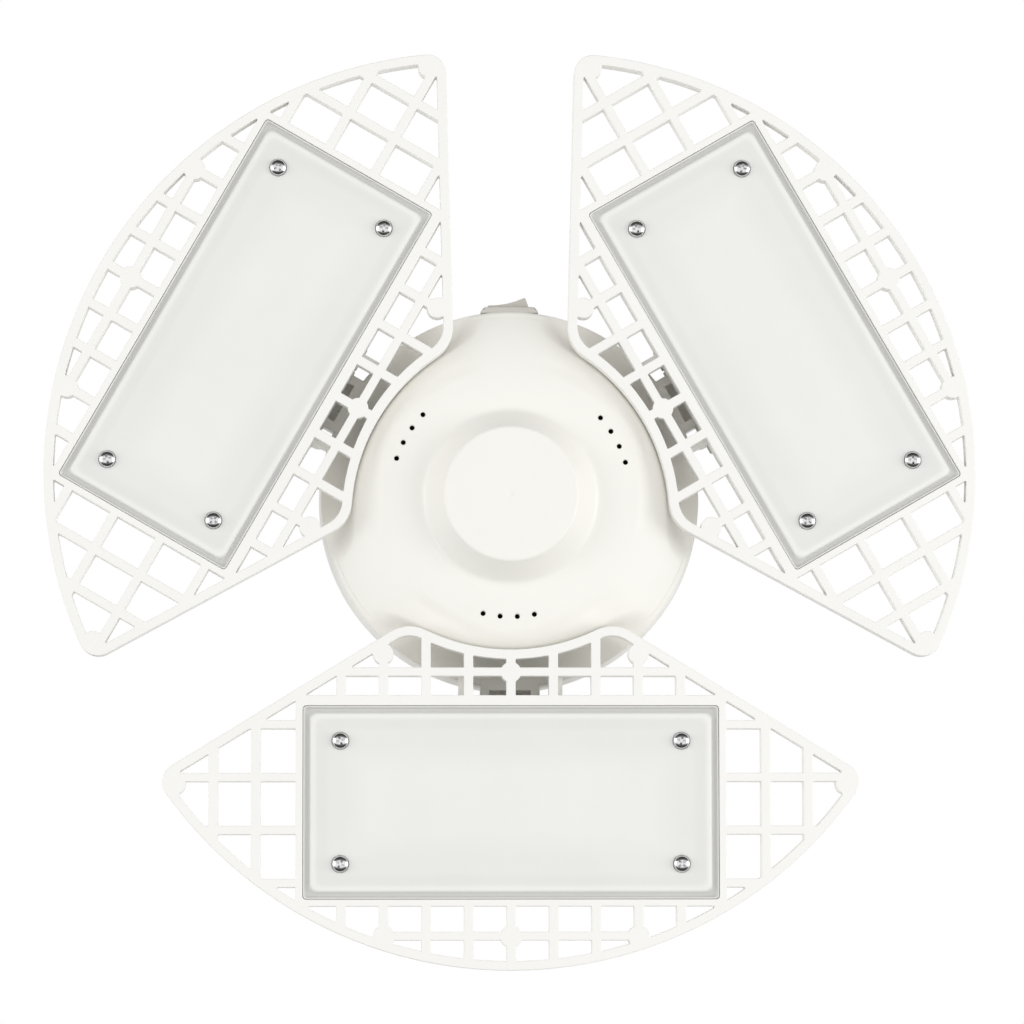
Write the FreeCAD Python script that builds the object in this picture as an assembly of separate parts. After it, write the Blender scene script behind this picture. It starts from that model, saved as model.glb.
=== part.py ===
import FreeCAD, Part
import math
import os

# Deformable garage light: a round hub on a screw base with three folding
# lattice wings, each carrying an LED tray under a frosted lens.
# Millimetres. +Z points up towards the lamp holder, the light faces -Z.
# Origin: tip of the screw base's centre contact, on the lamp's axis.
# "w" is the depth behind the wings' front plane, so z = w - W0.

V = FreeCAD.Vector

# ---------------------------------------------------------------- dimensions
W0 = 95.0                 # wings' front plane to the tip of the base

# hub
HUB_R_RIM = 68.3          # radius at the rim's front
HUB_R_SEAM = 69.0         # radius at the joint of the two shells
HUB_R_BACK = 69.2
W_RIM = 13.0              # depth of the rim's front
W_SEAM = 30.5             # joint of front shell and rear cover
W_BACK = 37.0             # back face of the rear cover
SKIN = 2.5                # wall of both shells
BOSS_R_BASE = 31.0
BOSS_R_TOP = 24.4
W_BOSS_BASE = 1.5
W_BOSS_TOP = -9.5
DOME_K = 0.00818          # dome: w = 1.5 + K (r - 31)^2
POCKET_W = 13.62          # floor of the pockets under the wings
POCKET_LEAD = 1.4         # how far a pocket starts inside the wing's edge
POCKET_SLOPE = 4.6
RIDGE_HALF = 10.5
RIDGE_SLOPE = 8.5
POCKET_BLEND = 1.6
FOLD_R = 45.8             # shallow fold in front of each pocket
FOLD_MID = 2.8            # it lies further out on the wing's own line
FOLD_W = 4.8
FOLD_DEPTH = 0.9
VENT_R = 0.9
VENT_PCR = 43.3
VENT_STEP = 8.2           # degrees between the vents of one group
VENT_TURN = 0.95          # degrees the groups sit off the wings' lines

# hinges (wing-local: v radial, u tangential)
AX_V = 76.0
AX_W = 20.0
BOLT_R = 2.0
KNUCKLE_BORE_R = 2.06
EAR_BORE_R = 2.05
KNUCKLE_HALF = 10.7
KNUCKLE_WALL = 3.2
KNUCKLE_R = 6.5
EAR_IN = 15.5
EAR_OUT = 18.7
EAR_R = 6.5

# wings
WING_T = 8.0              # depth of the lattice bars
RIM_BAR = 3.4
BAR_U = 3.35              # width of the bars that run radially
BAR_V = 3.1
PITCH_U = 15.22
PITCH_V = 18.9
GRID_V = 110.55
ARC_IN_R = 70.0
ARC_IN_C = -14.7
ARC_OUT_R = 152.1
ARC_OUT_C = 18.0
EDGE_P = (76.5, 69.3)     # a point (u, v) on the straight edge
EDGE_SLOPE = 0.613
SHOULDER_R = 13.0
TIP_R = 7.0
PAD_R = 3.7
PAD_OUT_R = 3.95          # pads on the outermost cross bar
PAD_OUT_U, PAD_OUT_V = 45.6, 158.0
CELL_FILLET = 0.35

# tray, lens and LED board
TRAY_U = 77.1
TRAY_V0, TRAY_V1 = 71.7, 147.2
OPEN_U = 74.6
OPEN_V0, OPEN_V1 = 75.4, 144.7
TRAY_DEPTH = 12.0
TRAY_FLOOR = 2.0
LENS_GAP = 0.15
LENS_V = 110.05
SCREW_U, SCREW_V = 61.1, 22.04

# screw base, 26 mm medium size
BASE_CREST_R = 13.12
BASE_ROOT_R = 12.38
BASE_PITCH = 3.629
W_SHELL0, W_SHELL1 = 68.5, 88.5
SHELL_T = 0.45

WINGS = (("wing_a", 270.0), ("wing_b", 30.0), ("wing_c", 150.0))

# 21 x 15 mm rocker switch on the hub's side at +Y
SW_W = 22.3               # its centre's depth
SW_Y = 68.0               # seat of the bezel

os.makedirs("parts", exist_ok=True)


# ------------------------------------------------------------------- helpers
def z(w):
    return w - W0


def box(x0, x1, y0, y1, w0, w1):
    return Part.makeBox(x1 - x0, y1 - y0, w1 - w0, V(x0, y0, z(w0)))


def cyl(r, w0, w1, x=0.0, y=0.0):
    return Part.makeCylinder(r, w1 - w0, V(x, y, z(w0)), V(0, 0, 1))


def cyl_y(r, y0, y1, x, w):
    return Part.makeCylinder(r, y1 - y0, V(x, y0, z(w)), V(0, 1, 0))


def revolve(pts):
    """Solid of revolution about Z from (r, w) points."""
    p = [V(r, 0, z(w)) for r, w in pts]
    p.append(p[0])
    return Part.Face(Part.makePolygon(p)).revolve(V(0, 0, 0), V(0, 0, 1), 360)


def revolve_y(pts, x, w):
    """Solid of revolution about a line along Y through (x, w), from (r, y)."""
    p = [V(x + r, y, z(w)) for r, y in pts]
    p.append(p[0])
    return Part.Face(Part.makePolygon(p)).revolve(V(x, 0, z(w)), V(0, 1, 0), 360)


def fuse(shapes):
    out = shapes[0]
    if len(shapes) > 1:
        out = out.multiFuse(shapes[1:])
    return out


def solid(shape):
    """The one solid of a shape."""
    s = shape.removeSplitter() if shape.ShapeType != "Solid" else shape
    return s.Solids[0] if len(s.Solids) == 1 else s


def turn(shape, deg):
    s = shape.copy()
    s.rotate(V(0, 0, 0), V(0, 0, 1), deg)
    return s


def rounded_rect(x0, x1, y0, y1, r, w):
    """Closed wire of 4 lines and 4 arcs."""
    zz = z(w)
    k = r * (1 - math.sqrt(0.5))
    e = []
    e.append(Part.makeLine(V(x0 + r, y0, zz), V(x1 - r, y0, zz)))
    e.append(Part.Arc(V(x1 - r, y0, zz), V(x1 - k, y0 + k, zz), V(x1, y0 + r, zz)).toShape())
    e.append(Part.makeLine(V(x1, y0 + r, zz), V(x1, y1 - r, zz)))
    e.append(Part.Arc(V(x1, y1 - r, zz), V(x1 - k, y1 - k, zz), V(x1 - r, y1, zz)).toShape())
    e.append(Part.makeLine(V(x1 - r, y1, zz), V(x0 + r, y1, zz)))
    e.append(Part.Arc(V(x0 + r, y1, zz), V(x0 + k, y1 - k, zz), V(x0, y1 - r, zz)).toShape())
    e.append(Part.makeLine(V(x0, y1 - r, zz), V(x0, y0 + r, zz)))
    e.append(Part.Arc(V(x0, y0 + r, zz), V(x0 + k, y0 + k, zz), V(x0 + r, y0, zz)).toShape())
    return Part.Wire(e)


def rr_prism(x0, x1, y0, y1, r, w0, w1):
    return Part.Face(rounded_rect(x0, x1, y0, y1, r, w0)).extrude(V(0, 0, w1 - w0))


def hex_y(af, y0, y1, x, w):
    """Hexagonal prism along Y."""
    rc = af / math.sqrt(3)
    p = [V(x + rc * math.cos(math.radians(60 * i)), y0, z(w) + rc * math.sin(math.radians(60 * i)))
         for i in range(7)]
    return Part.Face(Part.makePolygon(p)).extrude(V(0, y1 - y0, 0))


def cross_recess(depth, half, thick):
    """Cross recess cutter at the origin: opening at z = 0, going to +Z."""
    a = []
    for s in (0, 90):
        w1 = Part.makePolygon([V(-half, -thick, -0.2), V(half, -thick, -0.2), V(half, thick, -0.2),
                               V(-half, thick, -0.2), V(-half, -thick, -0.2)])
        h, t = half * 0.35, thick * 0.75
        w2 = Part.makePolygon([V(-h, -t, depth), V(h, -t, depth), V(h, t, depth), V(-h, t, depth),
                               V(-h, -t, depth)])
        lo = Part.makeLoft([w1, w2], True, True)
        lo.rotate(V(0, 0, 0), V(0, 0, 1), s)
        a.append(lo)
    return a[0].fuse(a[1])


def pan_screw(head_r, head_h, shank_r, length):
    """Pan-head screw: head's seat at z = 0, head towards -Z, shank to +Z."""
    k = head_r * 0.72
    arc = Part.Arc(V(0, 0, -head_h), V(k, 0, -head_h * 0.86), V(head_r, 0, -head_h * 0.38)).toShape()
    pts = [V(head_r, 0, -head_h * 0.38), V(head_r, 0, 0), V(shank_r, 0, 0), V(shank_r, 0, length - 1.0),
           V(shank_r * 0.4, 0, length), V(0, 0, length), V(0, 0, -head_h)]
    edges = [arc] + [Part.makeLine(pts[i], pts[i + 1]) for i in range(len(pts) - 1)]
    s = Part.Face(Part.Wire(edges)).revolve(V(0, 0, 0), V(0, 0, 1), 360)
    r = cross_recess(head_h * 0.8, head_r * 0.62, head_r * 0.15)
    r.translate(V(0, 0, -head_h))
    return s.cut(r)


def moved(shape, x, y, w, flip=False):
    s = shape.copy()
    if flip:
        s.rotate(V(0, 0, 0), V(1, 0, 0), 180)
    s.translate(V(x, y, z(w)))
    return s


def export(name, shape):
    bad = [i for i, so in enumerate(shape.Solids) if not so.isClosed() or so.Volume <= 0]
    print("%-26s solids %3d  volume %10.1f mm3  valid %s%s" % (
        name, len(shape.Solids), shape.Volume, shape.isValid(), "  OPEN %s" % bad if bad else ""))
    shape.exportStep("parts/%s.step" % name)


def group(shapes):
    out = []
    for s in shapes:
        out += s.Solids
    return Part.makeCompound(out)


# ----------------------------------------------------------------- hub shape
def smin(a, b, k):
    h = max(k - abs(a - b), 0.0) / k
    return min(a, b) - h * h * k / 4.0


def step(t):
    t = min(max(t, 0.0), 1.0)
    return t * t * (3 - 2 * t)


def hub_depth(r, deg):
    """Depth w of the hub's front at radius r, deg from a wing's direction."""
    dome = W_BOSS_BASE + DOME_K * max(r - BOSS_R_BASE, 0.0) ** 2
    fold_r = FOLD_R + FOLD_MID * 0.5 * (1 + math.cos(math.pi * min(abs(deg) / 28.0, 1.0)))
    dome += FOLD_DEPTH * step((r - fold_r) / FOLD_W) * step((50.0 - abs(deg)) / 14.0)
    a = math.radians(deg)
    along = math.hypot(r * math.cos(a) - ARC_IN_C, r * math.sin(a)) - (ARC_IN_R - POCKET_LEAD)
    s = abs(r * math.sin(math.radians(60.0 - abs(deg))))
    m = step(smin(along / POCKET_SLOPE, (s - RIDGE_HALF) / RIDGE_SLOPE, POCKET_BLEND))
    return dome + m * (POCKET_W - dome)


def hub_wedge(offset, r0, r1, w_end):
    """The 120 degree sector behind the hub's front face, down to w_end."""
    rows = []
    nr, nt = 34, 64
    for i in range(nr + 1):
        r = r0 + (r1 - r0) * i / nr
        row = []
        for j in range(nt + 1):
            a = -60.0 + 120.0 * j / nt
            row.append(V(r * math.cos(math.radians(a)), r * math.sin(math.radians(a)),
                         z(hub_depth(r, a) + offset)))
        rows.append(row)
    surf = Part.BSplineSurface()
    surf.interpolate(rows)
    body = surf.toShape().extrude(V(0, 0, 60))
    return body.cut(box(-200, 200, -200, 200, w_end, w_end + 200))


def hub_region(offset, r1, w_end):
    parts = [turn(hub_wedge(offset, 22.0, r1, w_end), d) for _, d in WINGS]
    parts.append(cyl(22.5, W_BOSS_BASE + offset, w_end))
    return fuse(parts)


def wall_r(w):
    return HUB_R_RIM + (HUB_R_SEAM - HUB_R_RIM) * (w - W_RIM) / (W_SEAM - W_RIM)


def rim_envelope(inset, w_end, edge):
    """Drafted drum with a rounded front edge."""
    r_rim = HUB_R_RIM - inset
    pts = [(0.0, -40.0), (r_rim - edge, -40.0), (r_rim - edge, W_RIM - 0.9)]
    for i in range(1, 7):
        a = math.radians(90.0 * i / 6)
        pts.append((r_rim - edge + edge * math.sin(a), W_RIM - 0.9 + edge * (1 - math.cos(a))))
    pts += [(wall_r(w_end) - inset, w_end), (0.0, w_end)]
    return revolve(pts)


# front shell: outer skin
front = hub_region(0.0, HUB_R_RIM + 3, W_SEAM).common(rim_envelope(0.0, W_SEAM, 2.2))
boss = revolve([(0, W_BOSS_TOP), (BOSS_R_TOP - 0.5, W_BOSS_TOP), (BOSS_R_TOP, W_BOSS_TOP + 0.5),
                (BOSS_R_BASE - 1.0, W_BOSS_BASE - 1.6), (BOSS_R_BASE + 0.3, W_BOSS_BASE - 0.4),
                (BOSS_R_BASE + 2.2, W_BOSS_BASE + 0.15), (BOSS_R_BASE + 2.2, W_BOSS_BASE + 1.5),
                (0, W_BOSS_BASE + 1.5)])
front = front.fuse(boss)
# inside
cavity = hub_region(SKIN, HUB_R_RIM + 3, W_SEAM + 5).common(rim_envelope(SKIN, W_SEAM + 5, 1.0))
boss_in = revolve([(0, W_BOSS_TOP + SKIN), (BOSS_R_TOP - 2.2, W_BOSS_TOP + SKIN),
                   (BOSS_R_BASE - 3.0, W_BOSS_BASE + SKIN + 0.6), (0, W_BOSS_BASE + SKIN + 0.6)])
front = front.cut(cavity.fuse(boss_in))


# knuckle blocks, one per wing: two lugs, a web behind and the hub's wall
def knuckle():
    arm = box(HUB_R_RIM - 3.6, AX_V, -KNUCKLE_HALF, KNUCKLE_HALF, AX_W - KNUCKLE_R, AX_W + KNUCKLE_R)
    end = cyl_y(KNUCKLE_R, -KNUCKLE_HALF, KNUCKLE_HALF, AX_V, AX_W)
    body = arm.fuse(end)
    room = box(HUB_R_RIM + 0.9, AX_V + 20, -KNUCKLE_HALF + KNUCKLE_WALL, KNUCKLE_HALF - KNUCKLE_WALL,
               AX_W - 20, AX_W + 3.7)
    return body.cut(room)


blocks = [turn(knuckle(), d) for _, d in WINGS]
front = front.fuse(blocks[0]).fuse(blocks[1]).fuse(blocks[2])

# screw bosses for the rear cover, inside the front shell
COVER_SCREWS = [(56.0, a) for a in (0, 60, 120, 180, 240, 300)]
posts = []
for r, a in COVER_SCREWS:
    x, y = r * math.cos(math.radians(a)), r * math.sin(math.radians(a))
    posts.append(cyl(3.6, W_RIM, W_SEAM, x, y).cut(cyl(5, 0, POCKET_W + SKIN - 0.6, x, y)))
for p in posts:
    front = front.fuse(p)

cuts = []
for r, a in COVER_SCREWS:
    x, y = r * math.cos(math.radians(a)), r * math.sin(math.radians(a))
    cuts.append(cyl(1.5, 19.0, W_SEAM + 1, x, y))
# hinge bores and the cable passages through the hub's wall in each knuckle
for _, d in WINGS:
    cuts.append(turn(cyl_y(KNUCKLE_BORE_R, -20, 20, AX_V, AX_W), d))
    cuts.append(turn(Part.makeCylinder(3.0, 12, V(HUB_R_RIM - 8, 0, z(AX_W)), V(1, 0, 0)), d))
# twelve vents
for _, d in WINGS:
    for k in (-1.5, -0.5, 0.5, 1.5):
        a = math.radians(d + VENT_TURN + k * VENT_STEP)
        cuts.append(cyl(VENT_R, -2, 14, VENT_PCR * math.cos(a), VENT_PCR * math.sin(a)))
# flat seat and cut-out of the rocker switch
cuts.append(box(-11.6, 11.6, SW_Y, SW_Y + 8, SW_W - 7.9, SW_W + 7.9))
cuts.append(box(-9.7, 9.7, SW_Y - 12, SW_Y + 8, SW_W - 6.5, SW_W + 6.5))
for c in cuts:
    front = front.cut(c)
export("hub_front_shell", solid(front))

# ---------------------------------------------------------------- rear cover
NECK_R0, NECK_R1 = 22.0, 16.2
pts = [(0, W_SEAM), (HUB_R_SEAM, W_SEAM), (HUB_R_BACK, W_SEAM + 2.2)]
for i in range(1, 7):
    a = math.radians(90.0 * i / 6)
    pts.append((HUB_R_BACK - 4.2 + 4.2 * math.cos(a), W_BACK - 4.2 + 4.2 * math.sin(a)))
pts += [(NECK_R0 + 9, W_BACK + 1.2)]
for i in range(1, 6):
    a = math.radians(90.0 * i / 6)
    pts.append((NECK_R0 + 9 - 7.5 * math.sin(a), W_BACK + 1.2 + 8 * (1 - math.cos(a))))
pts += [(NECK_R0, W_BACK + 12), (NECK_R1 + 0.6, W_SHELL0 - 2.4), (NECK_R1, W_SHELL0 - 1.2),
        (14.2, W_SHELL0), (11.6, W_SHELL0), (11.6, W_SHELL1 - 1.5), (0, W_SHELL1 - 1.5)]
rear = revolve(pts)
inner = revolve([(0, W_SEAM - 1), (HUB_R_SEAM - SKIN, W_SEAM - 1), (HUB_R_BACK - SKIN, W_SEAM + 2),
                 (HUB_R_BACK - 5.2, W_BACK - SKIN), (NECK_R0 + 7, W_BACK + 1.2 - SKIN),
                 (NECK_R0 + 0.6, W_BACK + 4.5), (NECK_R0 - 2.4, W_BACK + 12), (14.2, W_SHELL0 - 2.4),
                 (9.6, W_SHELL0 + 1), (9.6, W_SHELL1), (0, W_SHELL1)])
rear = rear.cut(inner)
# radial vents in the back face and standing ribs on the neck
for i in range(24):
    a = 360.0 / 24 * i + 7.5
    slot = rr_prism(37.5, 50.5, -1.25, 1.25, 1.2, W_BACK - 6, W_BACK + 3)
    rear = rear.cut(turn(slot, a))
ribs = []
for i in range(12):
    rib = Part.Face(Part.makePolygon([V(NECK_R1 - 0.6, 0, z(W_SHELL0 - 3.4)), V(NECK_R0 + 1.2, 0, z(W_BACK + 13)),
                                      V(NECK_R0 + 8.6, 0, z(W_BACK + 1.5)), V(NECK_R0 + 4, 0, z(W_BACK + 0.5)),
                                      V(NECK_R0 - 1.6, 0, z(W_BACK + 12)), V(NECK_R1 - 1.2, 0, z(W_SHELL0 - 5)),
                                      V(NECK_R1 - 0.6, 0, z(W_SHELL0 - 3.4))]))
    rib.translate(V(0, -0.8, 0))
    ribs.append(turn(rib.extrude(V(0, 1.6, 0)), 30 * i))
rear = rear.multiFuse(ribs)
# screw wells
wells, holes = [], []
for r, a in COVER_SCREWS:
    x, y = r * math.cos(math.radians(a)), r * math.sin(math.radians(a))
    wells.append(cyl(4.6, W_SEAM, W_BACK - 0.6, x, y))
    holes.append(cyl(3.1, W_SEAM + 2.2, W_BACK + 3, x, y))
    holes.append(cyl(1.6, W_SEAM - 1, W_BACK, x, y))
rear = rear.multiFuse(wells)
# standoffs of the driver board
STAND = [(sx * 26.0, sy * 18.0) for sx in (-1, 1) for sy in (-1, 1)]
W_PCB = 30.0
PCB_T = 1.6
rear = rear.multiFuse([cyl(2.8, W_PCB + PCB_T, W_BACK - 0.4, x, y) for x, y in STAND])
for h in holes + [cyl(1.2, W_PCB, W_BACK - 1.2, x, y) for x, y in STAND]:
    rear = rear.cut(h)
export("hub_rear_cover", solid(rear))

# cover screws, from the back
screw = pan_screw(2.8, 2.0, 1.5, 12.0)
export("cover_screws", group([moved(screw, r * math.cos(math.radians(a)), r * math.sin(math.radians(a)),
                                    W_SEAM + 2.2, flip=True) for r, a in COVER_SCREWS]))

# --------------------------------------------------------------- screw base
def shell_rows(dr, dw, n_t):
    """Rows of points along the base's section, from the skirt's edge over the
    helical round thread to the crown's inner edge, moved in by dr and dw."""
    mid = 0.5 * (BASE_CREST_R + BASE_ROOT_R)
    amp = 0.5 * (BASE_CREST_R - BASE_ROOT_R)
    prof = [(14.2, 0.0, 0), (14.16, 0.25, 0), (13.95, 0.55, 0), (13.5, 0.95, 0), (13.05, 1.3, 0),
            (12.8, 1.65, 0), (mid, 2.1, 0)]
    n_w = 44
    for i in range(1, n_w + 1):
        w = 2.1 + (19.6 - 2.1) * i / n_w
        f = min(max((w - 2.3) / 2.2, 0.0), 1.0) * min(max((19.4 - w) / 2.2, 0.0), 1.0)
        prof.append((mid, w, f * f * (3 - 2 * f)))
    prof += [(mid - 0.08, 20.1, 0), (mid - 0.35, 20.6, 0), (mid - 0.85, 20.95, 0), (mid - 1.5, 21.15, 0),
             (mid - 2.3, 21.3, 0), (9.8, 21.4, 0), (9.2, 21.42, 0)]
    rows = []
    for r0, w, f in prof:
        q = min(max((w - 20.5) / 0.9, 0.0), 1.0)
        row = []
        for j in range(n_t + 1):
            t = 2 * math.pi * (j % n_t) / n_t
            r = r0 + amp * f * math.sin(2 * math.pi * w / BASE_PITCH - t)
            if r0 > 9.3:
                r -= dr * (1 - q)
            row.append(V(r * math.cos(t), r * math.sin(t), z(W_SHELL0 + w - dw * q)))
        rows.append(row)
    return rows


def rolled_shell(n_t=24):
    """Thin sheet-metal shell: outer and inner surface, joined at both ends."""
    faces = []
    for d in (0.0, SHELL_T):
        s = Part.BSplineSurface()
        s.interpolate(shell_rows(d, d, n_t))
        faces.append(s.toShape())
    ends = [sorted([e for e in f.Edges if e.Closed], key=lambda e: e.BoundBox.ZMin) for f in faces]
    rims = [Part.makeRuledSurface(ends[0][i], ends[1][i]) for i in (0, 1)]
    shell = Part.makeShell(faces + rims)
    shell.sewShape()
    body = Part.Solid(shell.Shells[0])
    if body.Volume < 0:
        body.reverse()
    return body


export("screw_shell", rolled_shell())

ins = revolve([(0, W_SHELL1 - 0.5), (9.1, W_SHELL1 - 0.5), (9.1, W_SHELL1 + 1.6), (8.2, W_SHELL1 + 3.2),
               (5.4, W_SHELL1 + 4.6), (0, W_SHELL1 + 4.6)])
ins = ins.cut(cyl(1.0, W_SHELL1 - 2, W_SHELL1 + 8))
export("base_insulator", solid(ins))
contact = revolve([(0, W_SHELL1 + 4.6), (4.9, W_SHELL1 + 4.6), (4.7, W_SHELL1 + 5.5), (3.4, W_SHELL1 + 6.2),
                   (0, W0)])
export("centre_contact", solid(contact.fuse(cyl(1.0, W_SHELL1 - 0.5, W_SHELL1 + 5.0))))

# ------------------------------------------------------------- driver inside
pcb = cyl(51.0, W_PCB, W_PCB + PCB_T)
for x, y in STAND:
    pcb = pcb.cut(cyl(1.6, W_PCB - 1, W_PCB + 4, x, y))
export("driver_board", solid(pcb))
bs = pan_screw(2.2, 1.6, 1.2, 4.6)
export("board_screws", group([moved(bs, x, y, W_PCB) for x, y in STAND]))

bob = box(-9, 9, -8, 8, W_PCB - 14.5, W_PCB - 1.5)
core = box(-11, 11, -3.5, 3.5, W_PCB - 17, W_PCB)
feet = box(-10, 10, -9, 9, W_PCB - 1.5, W_PCB)
tr = bob.fuse(core).fuse(feet)
tr.translate(V(0, 6, 0))
export("transformer", solid(tr))


def can(x, y, r, h):
    return revolve([(0, W_PCB - h), (r - 0.8, W_PCB - h), (r, W_PCB - h + 0.8), (r, W_PCB - 3.0), (r - 0.5, W_PCB - 2.6),
                    (r, W_PCB - 2.2), (r, W_PCB), (0, W_PCB)]).translated(V(x, y, 0))


export("capacitors", group([can(-24, 0, 6.0, 17), can(24, 2, 5.0, 15), can(25, -11, 3.2, 9)]))
tor = Part.makeTorus(5.2, 2.6, V(-12, -14, z(W_PCB - 2.6)), V(0, 0, 1))
export("choke", solid(tor))
export("driver_chips", group([box(4, 9, -18, -12, W_PCB - 1.6, W_PCB), box(12, 19, -19, -14, W_PCB - 2.4, W_PCB),
                              box(-33, -29, -14, -8, W_PCB - 2.0, W_PCB), box(14, 18, -8, -5, W_PCB - 1.2, W_PCB)]))

# ------------------------------------------------------------- rocker switch


def bezel_loop(hx, hw, y):
    return Part.makePolygon([V(-hx, y, z(SW_W - hw)), V(hx, y, z(SW_W - hw)), V(hx, y, z(SW_W + hw)),
                             V(-hx, y, z(SW_W + hw)), V(-hx, y, z(SW_W - hw))])


bz = Part.makeLoft([bezel_loop(10.6, 7.5, SW_Y), bezel_loop(10.4, 7.3, SW_Y + 0.6), bezel_loop(9.3, 6.4, SW_Y + 2.1),
                    bezel_loop(8.7, 5.9, SW_Y + 2.4)], True, True)
sw_body = box(-9.6, 9.6, SW_Y - 13.5, SW_Y, SW_W - 6.4, SW_W + 6.4)
housing = bz.fuse(sw_body)
well = box(-8.15, 8.15, SW_Y - 6.6, SW_Y + 9, SW_W - 5.05, SW_W + 5.05)
housing = housing.cut(well)
# bearing sockets of the rocker's trunnions
PIV_Y = SW_Y - 0.6
housing = housing.cut(Part.makeCylinder(1.05, 12.0, V(0, PIV_Y, z(SW_W - 6.0)), V(0, 0, 1)))
for sx in (-1, 1):
    housing = housing.cut(box(sx * 5.0 - 0.4, sx * 5.0 + 0.4, SW_Y - 14, SW_Y - 9, SW_W - 2.4, SW_W + 2.4))
export("switch_housing", solid(housing))

# the rocker rests with its +X end down and its -X end up, 12 degrees
prof = [(-7.5, 1.9), (-7.0, 4.95), (-6.6, 5.2), (-3.5, 4.65), (0.0, 4.45), (3.5, 4.65), (6.6, 5.2), (7.0, 4.95),
        (7.5, 1.9), (3.0, -3.6), (-3.0, -3.6)]
p = [V(x, y, z(SW_W - 4.75)) for x, y in prof]
p.append(p[0])
rock = Part.Face(Part.makePolygon(p)).extrude(V(0, 0, 9.5))
trun = Part.makeCylinder(1.0, 11.6, V(0, 0, z(SW_W - 5.8)), V(0, 0, 1))
rock = rock.fuse(trun)
rock.rotate(V(0, 0, 0), V(0, 0, 1), -12)
rock.translate(V(0, PIV_Y, 0))
export("switch_rocker", solid(rock))
export("switch_terminals", group([box(sx * 5.0 - 0.4, sx * 5.0 + 0.4, SW_Y - 20.5, SW_Y - 9, SW_W - 2.4, SW_W + 2.4)
                                  for sx in (-1, 1)]))


def wire(p0, p1, r=0.9):
    a, b = V(*p0), V(*p1)
    d = b - a
    return Part.makeCylinder(r, d.Length, a, d)


leads = [wire((-5, SW_Y - 21.4, z(SW_W)), (-20, 20.5, z(W_PCB - 1.2)), 0.8),
         wire((5, SW_Y - 21.4, z(SW_W)), (9, 21.5, z(W_PCB - 1.2)), 0.8),
         wire((0, 0, z(W_PCB + PCB_T + 0.1)), (0, 0, z(W_SHELL1 - 0.8)), 0.9),
         wire((7.0, 0, z(W_PCB + PCB_T + 0.1)), (7.0, 0, z(W_SHELL1 - 2.2)), 0.9)]
export("hub_wires", group(leads))

# rubber grommets in the knuckles' cable passages
gr = []
for _, d in WINGS:
    g = Part.makeCylinder(3.0, 3.6, V(HUB_R_RIM - 2.9, 0, z(AX_W)), V(1, 0, 0))
    g = g.fuse(Part.makeCylinder(3.45, 1.0, V(HUB_R_RIM + 0.9, 0, z(AX_W)), V(1, 0, 0)))
    g = g.fuse(Part.makeCylinder(3.0, 0.4, V(HUB_R_RIM + 0.6, 0, z(AX_W)), V(1, 0, 0)))
    g = g.cut(Part.makeCylinder(1.6, 12, V(HUB_R_RIM - 6, 0, z(AX_W)), V(1, 0, 0)))
    gr.append(turn(g, d))
export("hub_grommets", group(gr))


# -------------------------------------------------------------------- wings
def line_dist(u, v):
    """Signed distance of (u, v) from the straight edge, positive inside."""
    n = math.sqrt(1 + EDGE_SLOPE ** 2)
    return (v - (EDGE_P[1] + EDGE_SLOPE * (u - EDGE_P[0]))) / n


def solve_fillet(radius, centre_v, dist, u0, v0):
    """Centre (u, v): radius from the edge line, dist from (0, centre_v)."""
    u, v = u0, v0
    for _ in range(60):
        f1 = line_dist(u, v) - radius
        f2 = math.hypot(u, v - centre_v) - dist
        n = math.sqrt(1 + EDGE_SLOPE ** 2)
        a11, a12 = -EDGE_SLOPE / n, 1.0 / n
        h = math.hypot(u, v - centre_v)
        a21, a22 = u / h, (v - centre_v) / h
        det = a11 * a22 - a12 * a21
        u -= (f1 * a22 - a12 * f2) / det
        v -= (a11 * f2 - f1 * a21) / det
    return u, v


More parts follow.
